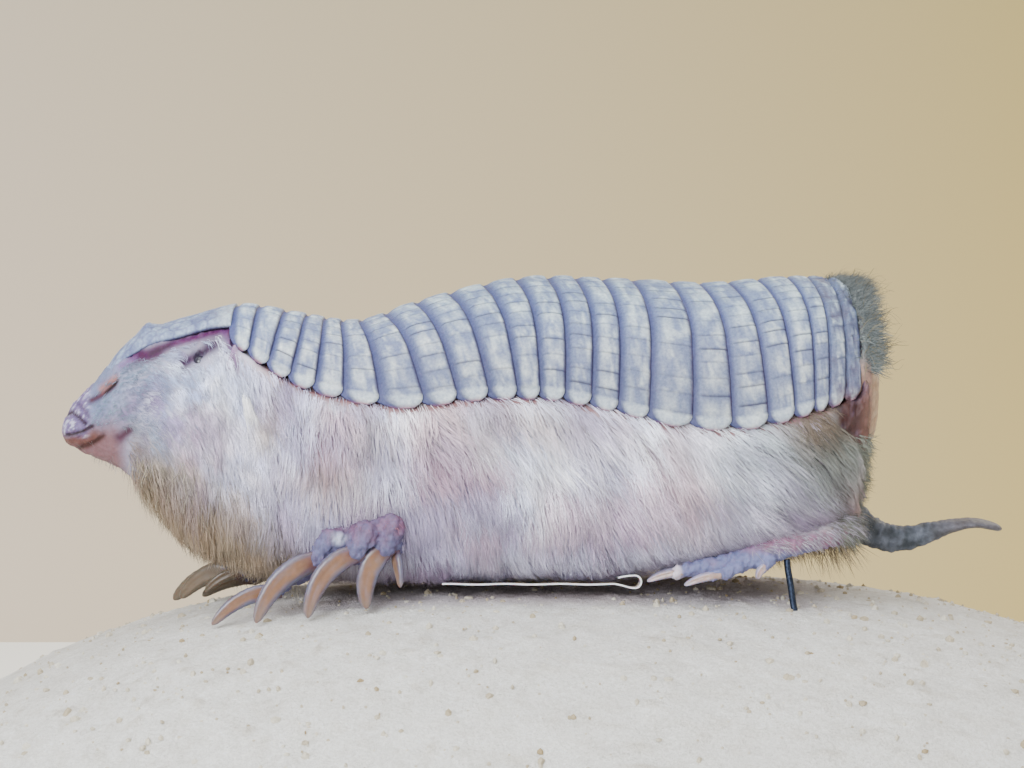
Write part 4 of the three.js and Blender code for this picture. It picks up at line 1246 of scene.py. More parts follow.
def clawBlade(name, root, tip, deep, thick, bend, shades, replaced=()):
    start, end = np.array(root, float), np.array(tip, float)
    along = (end - start) / np.linalg.norm(end - start)
    sideways = np.cross(along, (0, 0, 1))
    sideways /= np.linalg.norm(sideways)
    arch = np.cross(sideways, along)
    middle = start + (end - start) * 0.45 + arch * 2 * bend
    t = np.concatenate([np.linspace(-0.14, 0.92, claws["stations"]), [0.95, 0.975, 0.99, 0.998]])
    s = np.clip(t, 0, 1)[:, None]
    line = (1 - s) ** 2 * start + 2 * s * (1 - s) * middle + s * s * end
    ahead = 2 * (1 - s) * (middle - start) + 2 * s * (end - middle)
    ahead /= np.linalg.norm(ahead, axis=1, keepdims=True)
    line = line + ahead * np.minimum(t, 0)[:, None] * np.linalg.norm(end - start)
    up = np.cross(sideways, ahead)
    slim = 0.5 * np.sqrt(1 - 0.94 * np.clip(t, 0, 1) ** 2.2) * (0.86 + 0.16 * smoothStep(0, 0.25, t))
    slim = slim * np.sqrt(np.clip(1 - np.clip((t - 0.93) / 0.0705, 0, 1) ** 2, 0.0, 1))
    turn = (np.arange(claws["sides"]) * 2 * math.pi / claws["sides"])[None]
    high = np.sin(turn) * (1 + 0.02 * np.sin(t * 60)[:, None])
    groove = 0.28 * np.exp(-((high - 0.1) / 0.42) ** 2) * smoothStep(0.05, 0.4, t)[:, None]
    wide = signedPower(np.cos(turn), 0.75) * (1 - groove)
    rings = (line[:, None] + sideways * (thick * slim[:, None] * wide)[..., None]
             + up[:, None] * (deep * slim[:, None] * high)[..., None])
    piece = loft(name, rings)
    base, edge, dark, pale = (linear(*shade) for shade in shades)
    streak = np.stack([3.0 * t[:, None] + 0 * high, 2.4 * high, 2.4 * wide + rings[0, 0, 0]], -1)
    grain = relief(streak.reshape(-1, 3), 0.8, 3, 71).reshape(high.shape)
    tint = mix(base, edge, np.clip(smoothStep(0.36, 0.85, np.abs(high - 0.08)) + 0.5 * grain, 0, 1))
    tint = tint * (1 + 0.25 * grain[..., None])
    tint = mix(tint, dark, 0.7 * smoothStep(0.22, 0.0, t)[:, None])
    tint = mix(tint, pale, 0.6 * smoothStep(0.72, 1.0, t)[:, None])
    paintRings(piece, tint)
    return finish(piece, "claw", "claw", *replaced)


def buildClaws():
    shades = [claws[key] for key in ("middle", "edge", "root", "tip")]
    hindShades = [claws[key] for key in ("hindMiddle", "hindEdge", "hindMiddle", "hindEdge")]
    # painted shade: the far hand's claws take darker copies of the claw colours
    farShades = [claws[key] for key in ("farShadedMiddle", "farShadedEdge", "root", "farShadedEdge")]
    for side, hand in hands.items():
        chosen = shades if side == "left" else farShades
        for n, (root, tip, deep, thick, bend) in enumerate(hand["claws"], 1):
            clawBlade(f"claw_fore_{side}_{n}", root, clawTip(tip), deep, thick, bend, chosen,
                      [f"foreclaw_{side}_{n}"])
    for name, side in (("left", 1), ("right", -1)):
        for n, (bend, root, tip, wide) in enumerate(hindFoot["toes"], 1):
            start = np.array(mirrored(root, -side)) * 0.8 + np.array(mirrored(bend, -side)) * 0.2
            clawBlade(f"claw_hind_{name}_{n}", start, mirrored(tip, -side), 1.25, 1.55 * wide, 0.25,
                      hindShades)


tail = {
    "rows": [(34.0, 0, 45.6, 2.3, 2.5), (36.0, 0, 43.9, 2.3, 2.5), (38.6, 0, 41.4, 2.15, 2.35),
             (41.4, 0, 40.1, 2.0, 2.15),
             (44.6, 0, 40.0, 1.8, 1.9), (48.0, 0, 40.9, 1.4, 1.75), (51.2, 0, 41.8, 0.95, 2.2),
             (54.2, 0, 42.2, 0.7, 2.9), (56.8, 0, 41.8, 0.6, 2.7), (58.4, 0, 41.3, 0.45, 1.4)],
    "dark": (46, 54, 62), "pale": (98, 106, 120), "tip": (80, 72, 74), "ringStep": 1.25,
}


def buildTail():
    rows = np.array(tail["rows"])
    rings = tubeRings(rows[:, :3], rows[:, 3], rows[:, 4], 170, 40)
    middle = rings.mean(1, keepdims=True)
    run = np.concatenate([[0], np.cumsum(np.linalg.norm(np.diff(middle[:, 0], axis=0), axis=1))])
    fade = smoothStep(28, 18, run)
    bump = np.abs(np.sin(math.pi * run / tail["ringStep"] + 0.6 * np.sin(run * 0.7))) * fade
    lumps = relief(rings.reshape(-1, 3), 1.5, 3, 81).reshape(rings.shape[:2])
    size = 1 + (0.045 * bump - 0.02)[:, None] + 0.11 * lumps
    end = np.sqrt(np.clip(1 - np.clip((run - run[-1] + 0.9) / 0.92, 0, 1) ** 2, 0, 1))
    rings = middle + (rings - middle) * (size * end[:, None])[..., None]
    piece = loft("tail_skin", rings)
    tint = mix(linear(*tail["dark"]), linear(*tail["pale"]),
               np.clip(0.3 + 0.18 * bump[:, None] + 0.7 * lumps, 0, 1))
    tint = mix(tint, linear(*tail["tip"]), 0.6 * smoothStep(14, 20, run)[:, None])
    paintRings(piece, tint)
    finish(piece, "tail", "tail", "tail")


buildClaws()
buildTail()
print("claws and tail")


coat = {
    # tinted places on each side: x, z, reach along and up, colour, how strongly it shows
    "marks": [(-57.9, 68.1, 2.2, 0.9, (124, 96, 132), 0.5),
              (-66.5, 59.5, 2.4, 1.8, (126, 104, 146), 0.55), (-63.5, 61.5, 1.3, 3.2, (140, 108, 150), 0.6),
              (-70.0, 59.5, 2.2, 1.6, (140, 168, 176), 0.6), (-61.5, 66.0, 3.0, 1.0, (232, 240, 246), 0.7),
              (-57.5, 56.0, 5.0, 3.5, (150, 126, 160), 0.5), (-66.0, 64.4, 1.6, 1.2, (96, 120, 138), 0.6),
              (-39.5, 53.5, 2.6, 2.8, (134, 98, 78), 0.65), (-24.0, 53.5, 6.5, 3.0, (160, 116, 118), 0.3),
              (8.5, 51.0, 3.8, 3.2, (156, 98, 104), 0.6), (-47.5, 60.5, 1.8, 3.4, (148, 118, 96), 0.6),
              (-34.0, 58.0, 2.0, 5.0, (150, 122, 132), 0.5), (-11.0, 60.0, 8.0, 1.8, (160, 132, 120), 0.6),
              (-32.0, 48.0, 7.0, 3.2, (112, 78, 122), 0.7), (-5.0, 53.0, 2.4, 4.5, (162, 134, 166), 0.5),
              (-56.0, 59.0, 4.5, 2.2, (134, 112, 142), 0.5), (-2.0, 57.5, 8.0, 2.0, (246, 246, 250), 0.6),
              (-46.0, 52.0, 5.0, 3.0, (150, 142, 170), 0.5)],
    "rings": np.array([0.0, 0.34, 0.70, 1.0]),
    "shortRings": np.array([0.0, 0.5, 1.0]),
    "most": 12000,  # strands in one piece
    "patch": 0.003,  # size of a strand's place on the bake map
    "shades": {"muzzle": (116, 140, 160), "cheek": (168, 182, 212), "jaw": (158, 122, 152),
               "throat": (142, 124, 92),
               "neck": (200, 204, 226), "flank": (216, 224, 242), "white": (244, 246, 250),
               "grey": (150, 138, 168),
               "rear": (170, 182, 186), "dark": (94, 98, 88), "low": (124, 108, 142), "tan": (146, 122, 96),
               "rose": (186, 148, 160), "brown": (100, 84, 68), "lilac": (158, 130, 164),
               "mauve": (152, 132, 168)},
}
# lie of the coat: degrees turned down from pointing rearwards, high on the side and low on it
flowAt = smoothRows([(-78, 34, 40), (-68, 42, 56), (-60, 54, 74), (-52, 68, 84), (-44, 77, 86),
                     (-34, 75, 84),
                     (-22, 66, 77), (-8, 54, 67), (6, 43, 58), (20, 34, 50), (30, 26, 46), (37, 18, 50)])


def coatShade(x, share, side):
    c = coloursOf(coat["shades"])
    points = sidePoint(x, share, side)
    patch = relief(points * np.array([0.7, 1, 1]), 7.0, 3, 91)
    shade = mix(c["muzzle"], c["cheek"], smoothStep(-70, -60, x))
    shade = mix(shade, c["jaw"], smoothStep(0.55, 0.8, share) * smoothStep(-74, -68, x) * 0.8)
    shade = mix(shade, c["neck"], smoothStep(-56, -48, x))
    shade = mix(shade, c["flank"], smoothStep(-38, -28, x))
    shade = mix(shade, c["rear"], 0.9 * smoothStep(6, 22, x))
    shade = mix(shade, c["dark"], 0.85 * smoothStep(18.0, 31.5, x + 3.0 * patch))
    shade = mix(shade, c["white"], np.clip(patch * 1.8, 0, 0.85) * smoothStep(29, 18, x))
    shade = mix(shade, c["grey"], np.clip(-patch * 1.7 - 0.05, 0, 0.7) * smoothStep(-62, -50, x))
    rose = relief(points * np.array([0.6, 1, 0.9]) + 50.0, 8.0, 3, 97)
    rosy = np.clip(rose * 1.8 - 0.25, 0, 0.55) * smoothStep(-58, -46, x) * smoothStep(16, 4, x)
    shade = mix(shade, c["rose"], rosy)
    # painted shade: each side is darker and more lilac low down
    low = smoothStep(0.50, 0.80, share)
    shade = mix(shade, c["low"], 0.75 * low * smoothStep(-45, -35, x))
    mauve = relief(points * np.array([0.8, 1, 0.8]) + 20.0, 4.5, 3, 95)
    shade = mix(shade, c["mauve"], np.clip(mauve * 1.6, 0, 0.6) * smoothStep(-73, -66, x)
                * mix(1, 0.45, smoothStep(-56, -46, x)) * smoothStep(29, 21, x))
    shade = mix(shade, c["throat"], 0.9 * smoothStep(-6.0, 10.0, 58.5 - 0.5 * (x + 68) - points[..., 2]
                                                     + 5.0 * patch)
                * smoothStep(-72, -66, x) * smoothStep(-30, -46, x))
    for markX, markZ, across, up, colour, show in coat["marks"]:
        near = np.hypot((x - markX) / across, (points[..., 2] - markZ) / up) - 0.5 * patch
        shade = mix(shade, linear(*colour), show * np.exp(-np.maximum(near, 0) ** 2))
    brown = 0.85 * smoothStep(20, 27, x) * smoothStep(6.5, 1.0, belowShell(x, share) + 2.0 * patch)
    shade = mix(shade, c["brown"], brown)
    # painted shade: lilac low on the flank and haunch
    shade = mix(shade, c["lilac"], 0.7 * low * smoothStep(6, 14, x) * smoothStep(32, 25, x))
    return mix(shade, c["tan"], 0.7 * low * smoothStep(26, 34, x))


# triangles of one strand: a closed foot, sides and a point
def strandFaces(rings):
    faces = [(0, 2, 1)]
    for r in range(rings - 1):
        for k in range(3):
            a, b = r * 3 + k, r * 3 + (k + 1) % 3
            faces += [(a, b, b + 3), (a, b + 3, a + 3)]
    last = (rings - 1) * 3
    return np.array(faces + [(last, last + 1, last + 3), (last + 1, last + 2, last + 3),
                             (last + 2, last, last + 3)])


# joined strands from their middle lines (n, stations, 3), outward directions, half widths and shades
def strandPieces(name, lines, outward, width, rootShade, tipShade, bakeAt):
    order = np.argsort(lines[:, 0, 0], kind="stable")
    stations = lines.shape[1]
    rings = stations - 1
    faces = strandFaces(rings)
    along = np.gradient(lines, axis=1)
    along /= np.maximum(np.linalg.norm(along, axis=2, keepdims=True), 1e-9)
    side = np.cross(along, outward)
    side /= np.maximum(np.linalg.norm(side, axis=2, keepdims=True), 1e-9)
    rise = np.cross(side, along)
    t = np.linspace(0, 1, stations)
    taper = (1 - 0.75 * t[:rings] ** 1.3)[None, :, None, None]
    turn = (np.array([90, 200, 340]) * math.pi / 180)[None, None, :, None]
    walls = (lines[:, :rings, None] + width[:, None, None, None] * taper
             * (np.cos(turn) * side[:, :rings, None] + 0.4 * np.sin(turn) * rise[:, :rings, None]))
    points = np.concatenate([walls.reshape(len(lines), -1, 3), lines[:, -1:]], 1)
    parts = int(math.ceil(len(lines) / coat["most"]))
    for n, chosen in enumerate(np.array_split(order, parts), 1):
        count, each = len(chosen), points.shape[1]
        whole = (faces[None] + (np.arange(count) * each)[:, None, None]).reshape(-1, 3)
        piece = meshObject(f"coat_{name}_{n}", points[chosen].reshape(-1, 3), whole, False)
        blend = np.concatenate([np.repeat(t[:rings], 3), [1.0]])[None, :, None] ** 0.8
        paint(piece, "tint", (rootShade[chosen, None] * (1 - blend) + tipShade[chosen, None]
                              * blend).reshape(-1, 3))
        places = np.concatenate([np.stack([np.repeat(t[:rings], 3), np.tile([0.0, 0.5, 1.0], rings)], 1),
                                 [[1.0, 0.5]]])
        spread = bakeAt[chosen, None] + (places[None] - 0.5) * coat["patch"]
        layer = piece.data.uv_layers.new(name="OFBake")
        layer.data.foreach_set("uv", spread.reshape(-1, 2)[whole.ravel()].astype(np.float32).ravel())
        finish(piece, "coat", "coat")
    return parts


def bakePlace(x, share, side):
    return np.stack([(x + 80) / 122, 0.5 + side * (0.01 + 0.48 * share)], 1)


def flowAngle(x, share, jitter):
    high, low = flowAt(x)[..., 0], flowAt(x)[..., 1]
    start = edgeShare(x)
    angle = high + (low - high) * np.clip((share - start) / (1 - start), 0, 1)
    return np.radians(angle + jitter)


def wander(x, run, side, size, seed):
    return relief(np.stack([x, run, side * 40.0], 1), size, 2, seed)


# run along the body from a root: places along X and round the body at each station
def runLine(x, run, angle, bend, length, t):
    step = np.diff(t, prepend=0) * length[:, None]
    mid = angle[:, None] + bend[:, None] * (t - np.diff(t, prepend=0) / 2)
    return x[:, None] + np.cumsum(step * np.cos(mid), 1), run[:, None] + np.cumsum(step * np.sin(mid), 1)


def wrapped(x, run, side):
    share = run / lengthFor(x)
    side = np.where(share > 1, -side, side) * np.ones_like(share)
    return np.clip(np.where(share > 1, 2 - share, share), 0, 1), side


# how bare the skin is, from 0 to 1, along its lines and at eye, nose, chin and rump
def bareShare(points, x, share):
    bare = np.zeros(len(x))
    for path, width, depth, shade, show in skin["lines"]:
        bare = np.maximum(bare, stroke(points, path, width * 0.8) * (depth > 0.2))
    bare = np.maximum(bare, np.exp(-(eyeShare(points) / 2.4) ** 4))
    bare = np.maximum(bare, smoothStep(-73.0, -74.2, x))
    bare = np.maximum(bare, smoothStep(0.52, 0.62, share) * smoothStep(-66.5, -69.0, x))
    return np.maximum(bare, rumpSkin(points))


# the locks' middles, a shaken grid on each side, and a tree to find the nearest
def lockMiddles(xs, spacing):
    lockX, lockRun, lockSide = [], [], []
    rows = np.arange(0, 62, spacing)
    for one in (-1.0, 1.0):
        x, run = np.meshgrid(np.arange(xs[0] - spacing, xs[1] + spacing, spacing), rows, indexing="ij")
        lockX.append((x + rng.uniform(-0.5, 0.5, x.shape) * spacing).ravel())
        lockRun.append((run + rng.uniform(-0.5, 0.5, run.shape) * spacing).ravel())
        lockSide.append(np.full(x.size, one))
    lockX, lockRun, lockSide = (np.concatenate(v) for v in (lockX, lockRun, lockSide))
    tree = KDTree(len(lockX))
    for i in range(len(lockX)):
        tree.insert((lockX[i], lockRun[i], lockSide[i] * 100), i)
    tree.balance()
    return lockX, lockRun, lockSide, tree


def leanOf(x, run, side, wave):
    return wave * (wander(x, run, side, 9.0, 7) + 0.6 * wander(x, run, side, 3.5, 17))


def growCoat(name, spec):
    xs, density = spec["from"], spec["density"]
    count = int((xs[1] - xs[0]) * 60 * density)
    kept = []
    for side in (-1.0, 1.0):
        x = rng.uniform(*xs, count)
        run = rng.uniform(0, 60, count)
        length = lengthFor(x)
        share = run / length
        below = (share - edgeShare(x)) * length
        keep = (share < 1) & (below > spec.get("gap", -1.3) + 0.9 * rng.random(count) ** 2)
        if "shares" in spec:
            keep &= (share > spec["shares"][0]) & (share < spec["shares"][1])
        kept.append(np.stack([x, run, np.full(count, side)], 1)[keep])
    x, run, side = np.concatenate(kept).T
    share = run / lengthFor(x)
    below = belowShell(x, share)
    rootPoints = sidePoint(x, share, side, -skinDepth(x, share))
    keep = rng.random(len(x)) > bareShare(rootPoints, x, share) * 1.6
    x, run, side, share, below = (v[keep] for v in (x, run, side, share, below))
    count = len(x)
    # each strand leans towards the middle of its lock
    spacing = spec["lock"]
    lockX, lockRun, lockSide, tree = lockMiddles(xs, spacing)
    found = [tree.find((x[i], run[i], side[i] * 100)) for i in range(count)]
    lock = np.array([f[1] for f in found])
    away = np.array([f[2] for f in found]) / spacing
    lockTone, lockLift = rng.standard_normal(len(lockX)), rng.standard_normal(len(lockX))
    wave = spec.get("wave", 10)
    lean = leanOf(x, run, side, wave)
    lockShare = np.clip(lockRun / lengthFor(lockX), 0, 1)
    lockLean = leanOf(lockX, lockRun, lockSide, wave)
    lockLean += spec.get("scatter", 6) * rng.standard_normal(len(lockX))
    turn = spec.get("turn", 0)
    angle = flowAngle(x, share, lean + turn + spec.get("scatter", 6) * rng.standard_normal(count))
    lockAngle = flowAngle(lockX, lockShare, lockLean + turn)
    bend = np.radians(spec.get("bend", 14) + spec.get("bendSpread", 18) * rng.standard_normal(count))
    short = smoothStep(-0.3, 4.0, below) * 0.45 + 0.55
    spread = rng.uniform(0.7, 1.12, count)
    length = np.interp(x, *spec["length"]) * short * spread * (1 + 0.10 * lockLift[lock])
    t = coat["shortRings"] if spec.get("short") else coat["rings"]
    alongX, alongRun = runLine(x, run, angle, bend, length, t)
    middleX, middleRun = runLine(lockX[lock], lockRun[lock], lockAngle[lock],
                                 np.radians(spec.get("bend", 14)) + 0 * bend, length, t)
    pull = spec.get("clump", 0.5) * rng.uniform(0.6, 1.2, count)[:, None] * t ** 1.3
    alongX = alongX + pull * (middleX - alongX)
    alongRun = np.maximum(alongRun + pull * (middleRun - alongRun), 0)
    # the coat stops close to the rump
    alongX = np.where(alongX > 34.6, 34.6 + 0.38 * (alongX - 34.6), alongX)
    shareAt, sideAt = wrapped(alongX, alongRun, side[:, None])
    depth = np.minimum(skinDepth(x, share), np.where(below < 0.6, 1.25, 9.0))
    rough = 0.5 * lockLift[lock] + 0.6 * rng.standard_normal(count)
    out = spec.get("out", 0.0) + spec.get("rough", 0.35) * rough - 0.5 * away
    out = out + spec.get("swell", 0.6) * wander(alongX[:, 2], alongRun[:, 2], side, 6.0, 23)
    if "stand" in spec:
        out = out + np.interp(x, *spec["stand"]) * smoothStep(0.6, 0.85, share)
    out = np.minimum(out, 3.5)
    rise = 1 - (1 - t) ** mix(2.8, 1.9, smoothStep(0.0, 3.0, below[:, None]))
    grow = -depth[:, None] - 0.2 + (depth + 0.2 + np.maximum(out, 0.12 - depth))[:, None] * rise
    lines = sidePoint(alongX, shareAt, sideAt, grow)
    beyond = np.maximum(alongX - 36.0, 0)
    lines[..., 2] -= 0.04 * beyond ** 2
    # no hair crosses an eye
    clear = eyeShare(lines.reshape(-1, 3)).reshape(count, -1).min(1) > 1.9
    clear &= rumpSkin(lines[:, 2]) < rng.uniform(0.3, 1.0, count)
    lines, grow, alongX, shareAt, sideAt = (v[clear] for v in (lines, grow, alongX, shareAt, sideAt))
    x, share, side, lock = (v[clear] for v in (x, share, side, lock))
    count = len(x)
    lifted = sidePoint(alongX, shareAt, sideAt, grow + 0.5)
    outward = lifted - lines
    outward /= np.maximum(np.linalg.norm(outward, axis=2, keepdims=True), 1e-9)
    width = spec["width"] / 2 * rng.uniform(0.75, 1.25, count)
    shade = coatShade(x, share, side)
    tone = 1 + spec.get("tone", 0.07) * (lockTone[lock] + rng.standard_normal(count))
    tip = np.clip(shade * tone[:, None], 0.01, 0.95)
    root = tip * np.array(spec.get("root", (0.97, 0.93, 0.95)))
    parts = strandPieces(name, lines, outward, width, root, tip, bakePlace(x, share, side))
    print("coat", name, count, parts)


coatSpecs = {
    "face": {"short": True, "from": (-74.2, -62.0), "density": 17, "lock": 0.9,
             "length": ((-74, -70, -66, -62), (0.8, 1.2, 1.7, 2.4)), "width": 0.085, "wave": 12,
             "scatter": 9,
             "clump": 0.4, "out": 0.1, "rough": 0.12, "bend": 6, "gap": 1.3, "root": (0.62, 0.66, 0.74),
             "swell": 0.1, "tone": 0.13},
    "cheek": {"short": True, "from": (-62.0, -47.0), "density": 14, "lock": 1.6,
              "length": ((-62, -56, -47), (2.6, 3.8, 6.0)), "width": 0.118, "wave": 12, "scatter": 7,
              "clump": 0.45, "out": 0.0, "rough": 0.2, "bend": 8, "gap": 0.5, "swell": 0.35, "tone": 0.08},
    "throat": {"short": True, "from": (-70.0, -46.0), "density": 6.5, "shares": (0.62, 1.0), "lock": 1.9,
               "length": ((-70, -64, -56, -46), (2.2, 3.8, 5.8, 7.0)), "width": 0.12, "wave": 12,
               "scatter": 11,
               "turn": 8, "clump": 0.45, "out": 0.2, "rough": 0.8, "bend": 10, "tone": 0.09,
               "stand": ((-70, -62, -50, -44), (0.5, 1.7, 1.4, 0.4))},
    "shoulder": {"from": (-47.0, -16.0), "density": 8.5, "lock": 2.6,
                 "length": ((-47, -36, -16), (6.6, 7.8, 9.2)),
                 "width": 0.118, "wave": 20, "scatter": 9, "clump": 0.46, "rough": 0.30, "bend": 10},
    "flank": {"from": (-20.0, 14.0), "density": 8.1, "lock": 2.8, "length": ((-20, 0, 14), (9.0, 9.8, 9.8)),
              "width": 0.118, "wave": 21, "scatter": 9, "clump": 0.48, "rough": 0.30, "bend": 14},
    "haunch": {"from": (10.0, 36.4), "density": 8.4, "lock": 2.7,
               "length": ((10, 26, 32, 36.2), (9.8, 8.2, 4.8, 3.0)),
               "width": 0.118, "wave": 16, "scatter": 9, "clump": 0.46, "rough": 0.32, "bend": 16},
}
for name, spec in coatSpecs.items():
    growCoat(name, spec)


# roots spread evenly over the skin where the test passes, with the way out at each
def skinRoots(test, count):
    mesh = skinPiece.data
    mesh.calc_loop_triangles()
    corners = np.empty(3 * len(mesh.loop_triangles), int)
    mesh.loop_triangles.foreach_get("vertices", corners)
    corners = corners.reshape(-1, 3)
    points, outward = coordinates(skinPiece), normals(skinPiece)
    corners = corners[test(points[corners].mean(1), outward[corners].mean(1))]
    a, b, c = (points[corners[:, k]] for k in range(3))
    area = np.linalg.norm(np.cross(b - a, c - a), axis=1)
    chosen = rng.choice(len(area), count, p=area / area.sum())
    u, v = rng.random(count), rng.random(count)
    u, v = np.where(u + v > 1, 1 - u, u)[:, None], np.where(u + v > 1, 1 - v, v)[:, None]
    roots = a[chosen] + u * (b[chosen] - a[chosen]) + v * (c[chosen] - a[chosen])
    return roots, outward[corners[chosen]].mean(1)


# loose hairs: they leave the skin with some lift, lean into the flow, droop and curl
def growHairs(name, roots, outward, spec):
    count = len(roots)
    t = np.linspace(0, 1, spec["stations"])
    flow = np.array(spec["flow"]) + spec["spread"] * rng.standard_normal((count, 3))
    flow[:, 1] += spec.get("sideways", 0.0) * np.sign(roots[:, 1])
    flow -= outward * (flow * outward).sum(1, keepdims=True)
    flow /= np.linalg.norm(flow, axis=1, keepdims=True)
    lift = spec["lift"] * rng.uniform(0.5, 1.4, count)[:, None]
    start = flow + outward * lift
    across = np.cross(flow, outward)
    phase, turns = rng.uniform(0, 2 * math.pi, (count, 1)), rng.uniform(*spec["turns"], (count, 1))
    swing = spec["curl"] * rng.uniform(0.4, 1.3, (count, 1)) * np.minimum(1, 2.5 * t)[None]
    around = phase + 2 * math.pi * turns * t[None]
    heading = (start[:, None] + (swing * np.sin(around))[..., None] * across[:, None]
               + (swing * np.cos(around))[..., None] * outward[:, None])
    heading[..., 2] -= spec["droop"] * t[None]
    heading /= np.linalg.norm(heading, axis=2, keepdims=True)
    length = rng.uniform(*spec["length"], count)
    steps = np.diff(t, prepend=0)[None, :, None] * length[:, None, None]
    lines = (roots - 0.25 * outward)[:, None] + np.cumsum(heading * steps, axis=1)
    width = spec["width"] / 2 * rng.uniform(0.75, 1.25, count)
    blend = np.clip(rng.random(count) * 1.2 - 0.1, 0, 1)
    shade = mix(linear(*spec["dark"]), linear(*spec["pale"]), blend)
    shade = shade * (1 + 0.08 * rng.standard_normal(count))[:, None]
    side = np.where(roots[:, 1] < 0, -1.0, 1.0)
    share = np.arctan2(np.abs(roots[:, 1]), roots[:, 2] - bodyAt(roots[:, 0])[:, 1]) / math.pi
    away = np.broadcast_to(outward[:, None], lines.shape)
    strandPieces(name, lines, away, width, shade * 0.85, np.clip(shade, 0.01, 0.9),
                 bakePlace(roots[:, 0], share, side))
    print("hairs", name, count)


# the thick brush over the end of the shell, round the upper part of the rump plate
def brushRoots(count, low, near, far):
    x = rng.uniform(near, far, 3 * count)
    start = angleAt(x, low + 0 * x)
    angle = start + (math.pi - 2 * start) * rng.random(3 * count)
    slant = near + 0.85 * (77.5 - bodyPoint(x, angle)[:, 2])
    inside = np.flatnonzero(x > slant + rng.normal(0, 0.5, 3 * count))[:count]
    x, angle = x[inside], angle[inside]
    roots, lifted = bodyPoint(x, angle, -0.35), bodyPoint(x, angle, 0.65)
    outward = lifted - roots
    return roots, outward / np.linalg.norm(outward, axis=1, keepdims=True)


# the rim of the rump plate above a level
def rimRoots(count, low, ahead, behind):
    start = math.asin(min(1, ((low - rump["z"]) / rump["up"]) ** (1 / 0.92)))
    turn = start + (math.pi - 2 * start) * rng.random(count)
    side = rump["halfWidth"] * signedPower(np.cos(turn), 0.92)
    rise = rump["up"] * signedPower(np.sin(turn), 0.92)
    x = rump["x"] - rump["lean"] * rise + rng.uniform(ahead, behind, count)
    outward = np.stack([np.full(count, 0.25), np.cos(turn), np.sin(turn)], 1)
    return np.stack([x, side, rump["z"] + rise], 1), outward / np.linalg.norm(outward, axis=1, keepdims=True)


def bothRoots(first, second):
    return tuple(np.concatenate(pair) for pair in zip(first, second))


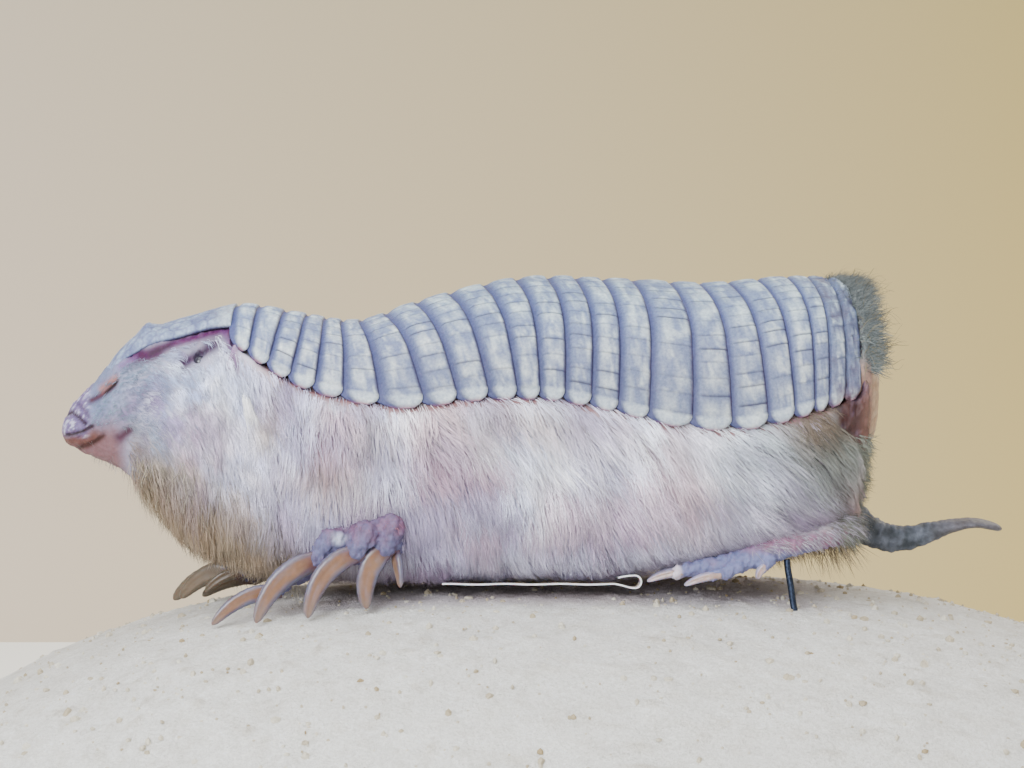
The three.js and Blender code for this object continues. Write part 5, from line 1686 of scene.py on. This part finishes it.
hairSpecs = {
    "brush": {"roots": lambda: bothRoots(brushRoots(4200, 67.0, 32.4, 36.6),
                                         rimRoots(4200, 65.1, -1.1, 1.2)),
              "stations": 3, "flow": (1, 0, 0.0), "spread": 0.5, "lift": 0.55, "curl": 0.4,
              "turns": (0.3, 0.8),
              "droop": 0.1, "length": (1.4, 3.2), "width": 0.11, "dark": (44, 52, 58),
              "pale": (118, 126, 126)},
    "curls": {"roots": lambda: bothRoots(brushRoots(90, 66.0, 33.4, 36.4), rimRoots(280, 66.0, -1.0, 1.2)),
              "stations": 9, "flow": (1, 0, 0.1), "spread": 0.5, "lift": 0.6, "curl": 1.1,
              "turns": (0.5, 1.3),
              "droop": 0.25, "length": (2.6, 6.0), "width": 0.085, "dark": (74, 70, 54),
              "pale": (138, 128, 96)},
    "rump": {"roots": lambda: skinRoots(lambda p, n: (p[:, 0] > 32.2) & (p[:, 2] < 56.5)
                                                     & (p[:, 2] > 41.0), 5600),
             "stations": 3, "flow": (1, 0, -0.7), "spread": 0.4, "lift": 0.6, "curl": 0.35,
             "turns": (0.2, 0.6),
             "droop": 0.4, "length": (1.8, 3.4), "width": 0.12, "dark": (80, 86, 78),
             "pale": (134, 138, 128)},
    "thigh": {"roots": lambda: skinRoots(lambda p,
                                         n: (p[:, 0] > 20.0) & (p[:, 2] > 41.6 - 0.12 * (30 - p[:, 0]))
                                         & (p[:, 2] < 46.0) & (np.abs(p[:, 1]) > 9), 5000),
              "stations": 3, "flow": (0.8, 0, -0.6), "spread": 0.16, "lift": 0.25, "curl": 0.12,
              "turns": (0.2, 0.5),
              "droop": 0.2, "length": (1.8, 3.2), "width": 0.12, "dark": (128, 120, 134),
              "pale": (184, 180, 192)},
    "seat": {"roots": lambda: skinRoots(lambda p, n: (p[:, 0] > 18.0) & (p[:, 0] < 34.5) & (p[:, 2] < 45.0)
                                        & (np.abs(p[:, 1]) < 15) & (n[:, 2] < -0.2), 4200),
             "stations": 4, "flow": (0.7, 0, -0.7), "spread": 0.3, "lift": 0.8, "curl": 0.3,
             "turns": (0.3, 0.8),
             "droop": 0.6, "length": (3.0, 6.2), "width": 0.11, "dark": (96, 84, 64),
             "pale": (158, 142, 114)},
    "wrist": {"roots": lambda: skinRoots(lambda p,
                                         n: (p[:, 0] < -26.5) & (p[:, 0] > -34.0) & (p[:, 2] > 44.0)
                                         & (p[:, 2] < 46.5) & (p[:, 1] < -14) & (n[:, 1] < 0.2), 90),
              "stations": 4, "flow": (0.4, 0, -1), "spread": 0.25, "lift": 0.25, "curl": 0.15,
              "turns": (0.3, 0.7),
              "droop": 0.2, "length": (1.0, 2.0), "width": 0.09, "dark": (128, 60, 84),
              "pale": (176, 120, 140)},
    # the chest's hair where it hangs over the top of the hand
    "cuff": {"roots": lambda: skinRoots(lambda p, n: (p[:, 0] < -25.0) & (p[:, 0] > -43.0) & (p[:, 2] > 45.6)
                                        & (p[:, 2] < 48.6) & (p[:, 1] < -12) & (n[:, 1] < 0.1), 900),
             "stations": 4, "flow": (0.2, -0.25, -1), "spread": 0.16, "lift": 0.5, "curl": 0.12,
             "turns": (0.3, 0.6),
             "droop": 0.3, "length": (2.2, 3.6), "width": 0.11, "dark": (150, 128, 158),
             "pale": (206, 194, 210)},
    "lock": {"roots": lambda: skinRoots(lambda p, n: (np.abs(p[:, 0] + 50.2) < 0.5)
                                                     & (np.abs(p[:, 2] - 61.8) < 0.5)
                                                     & (p[:, 1] < 0), 70),
             "stations": 6, "flow": (0.42, 0, -1), "spread": 0.05, "lift": 0.75, "curl": 0.05,
             "turns": (0.2, 0.4),
             "droop": 0.3, "length": (5.0, 7.6), "width": 0.13, "dark": (240, 240, 246),
             "pale": (254, 254, 254)},
    "bib": {"roots": lambda: skinRoots(lambda p, n: (p[:, 0] < -42.0) & (p[:, 0] > -68.0) & (p[:, 2] > 35.0)
                                       & (p[:, 2] < 53.0) & (n[:, 2] < -0.15), 1500),
            "stations": 4, "flow": (0.45, 0, -1), "spread": 0.35, "lift": 0.9, "curl": 0.35,
            "turns": (0.3, 0.8),
            "droop": 0.3, "length": (2.4, 5.0), "width": 0.075, "dark": (112, 100, 78),
            "pale": (196, 188, 164)},
    "chin": {"roots": lambda: skinRoots(lambda p, n: (p[:, 0] < -67.0) & (p[:, 0] > -74.0)
                                                     & (n[:, 2] < -0.75), 90),
             "stations": 6, "flow": (0.5, 0, -0.6), "spread": 0.35, "lift": 0.9, "curl": 0.3,
             "turns": (0.3, 0.7),
             "droop": 0.8, "length": (1.0, 2.3), "width": 0.07, "dark": (84, 72, 76),
             "pale": (170, 164, 170)},
    "farWrist": {"roots": lambda: skinRoots(lambda p,
                                            n: (p[:, 0] < -44.0) & (p[:, 0] > -58.0) & (p[:, 2] < 36.5)
                                            & (p[:, 1] > 8) & (n[:, 2] < 0.3), 260),
                 "stations": 6, "flow": (0.7, 0, -0.5), "spread": 0.3, "lift": 0.8, "curl": 0.3,
                 "turns": (0.3, 0.7),
                 "droop": 0.6, "length": (1.6, 3.2), "width": 0.08, "dark": (62, 48, 36),
                 "pale": (110, 94, 74)},
}
for name, spec in hairSpecs.items():
    growHairs(name, *spec["roots"](), spec)
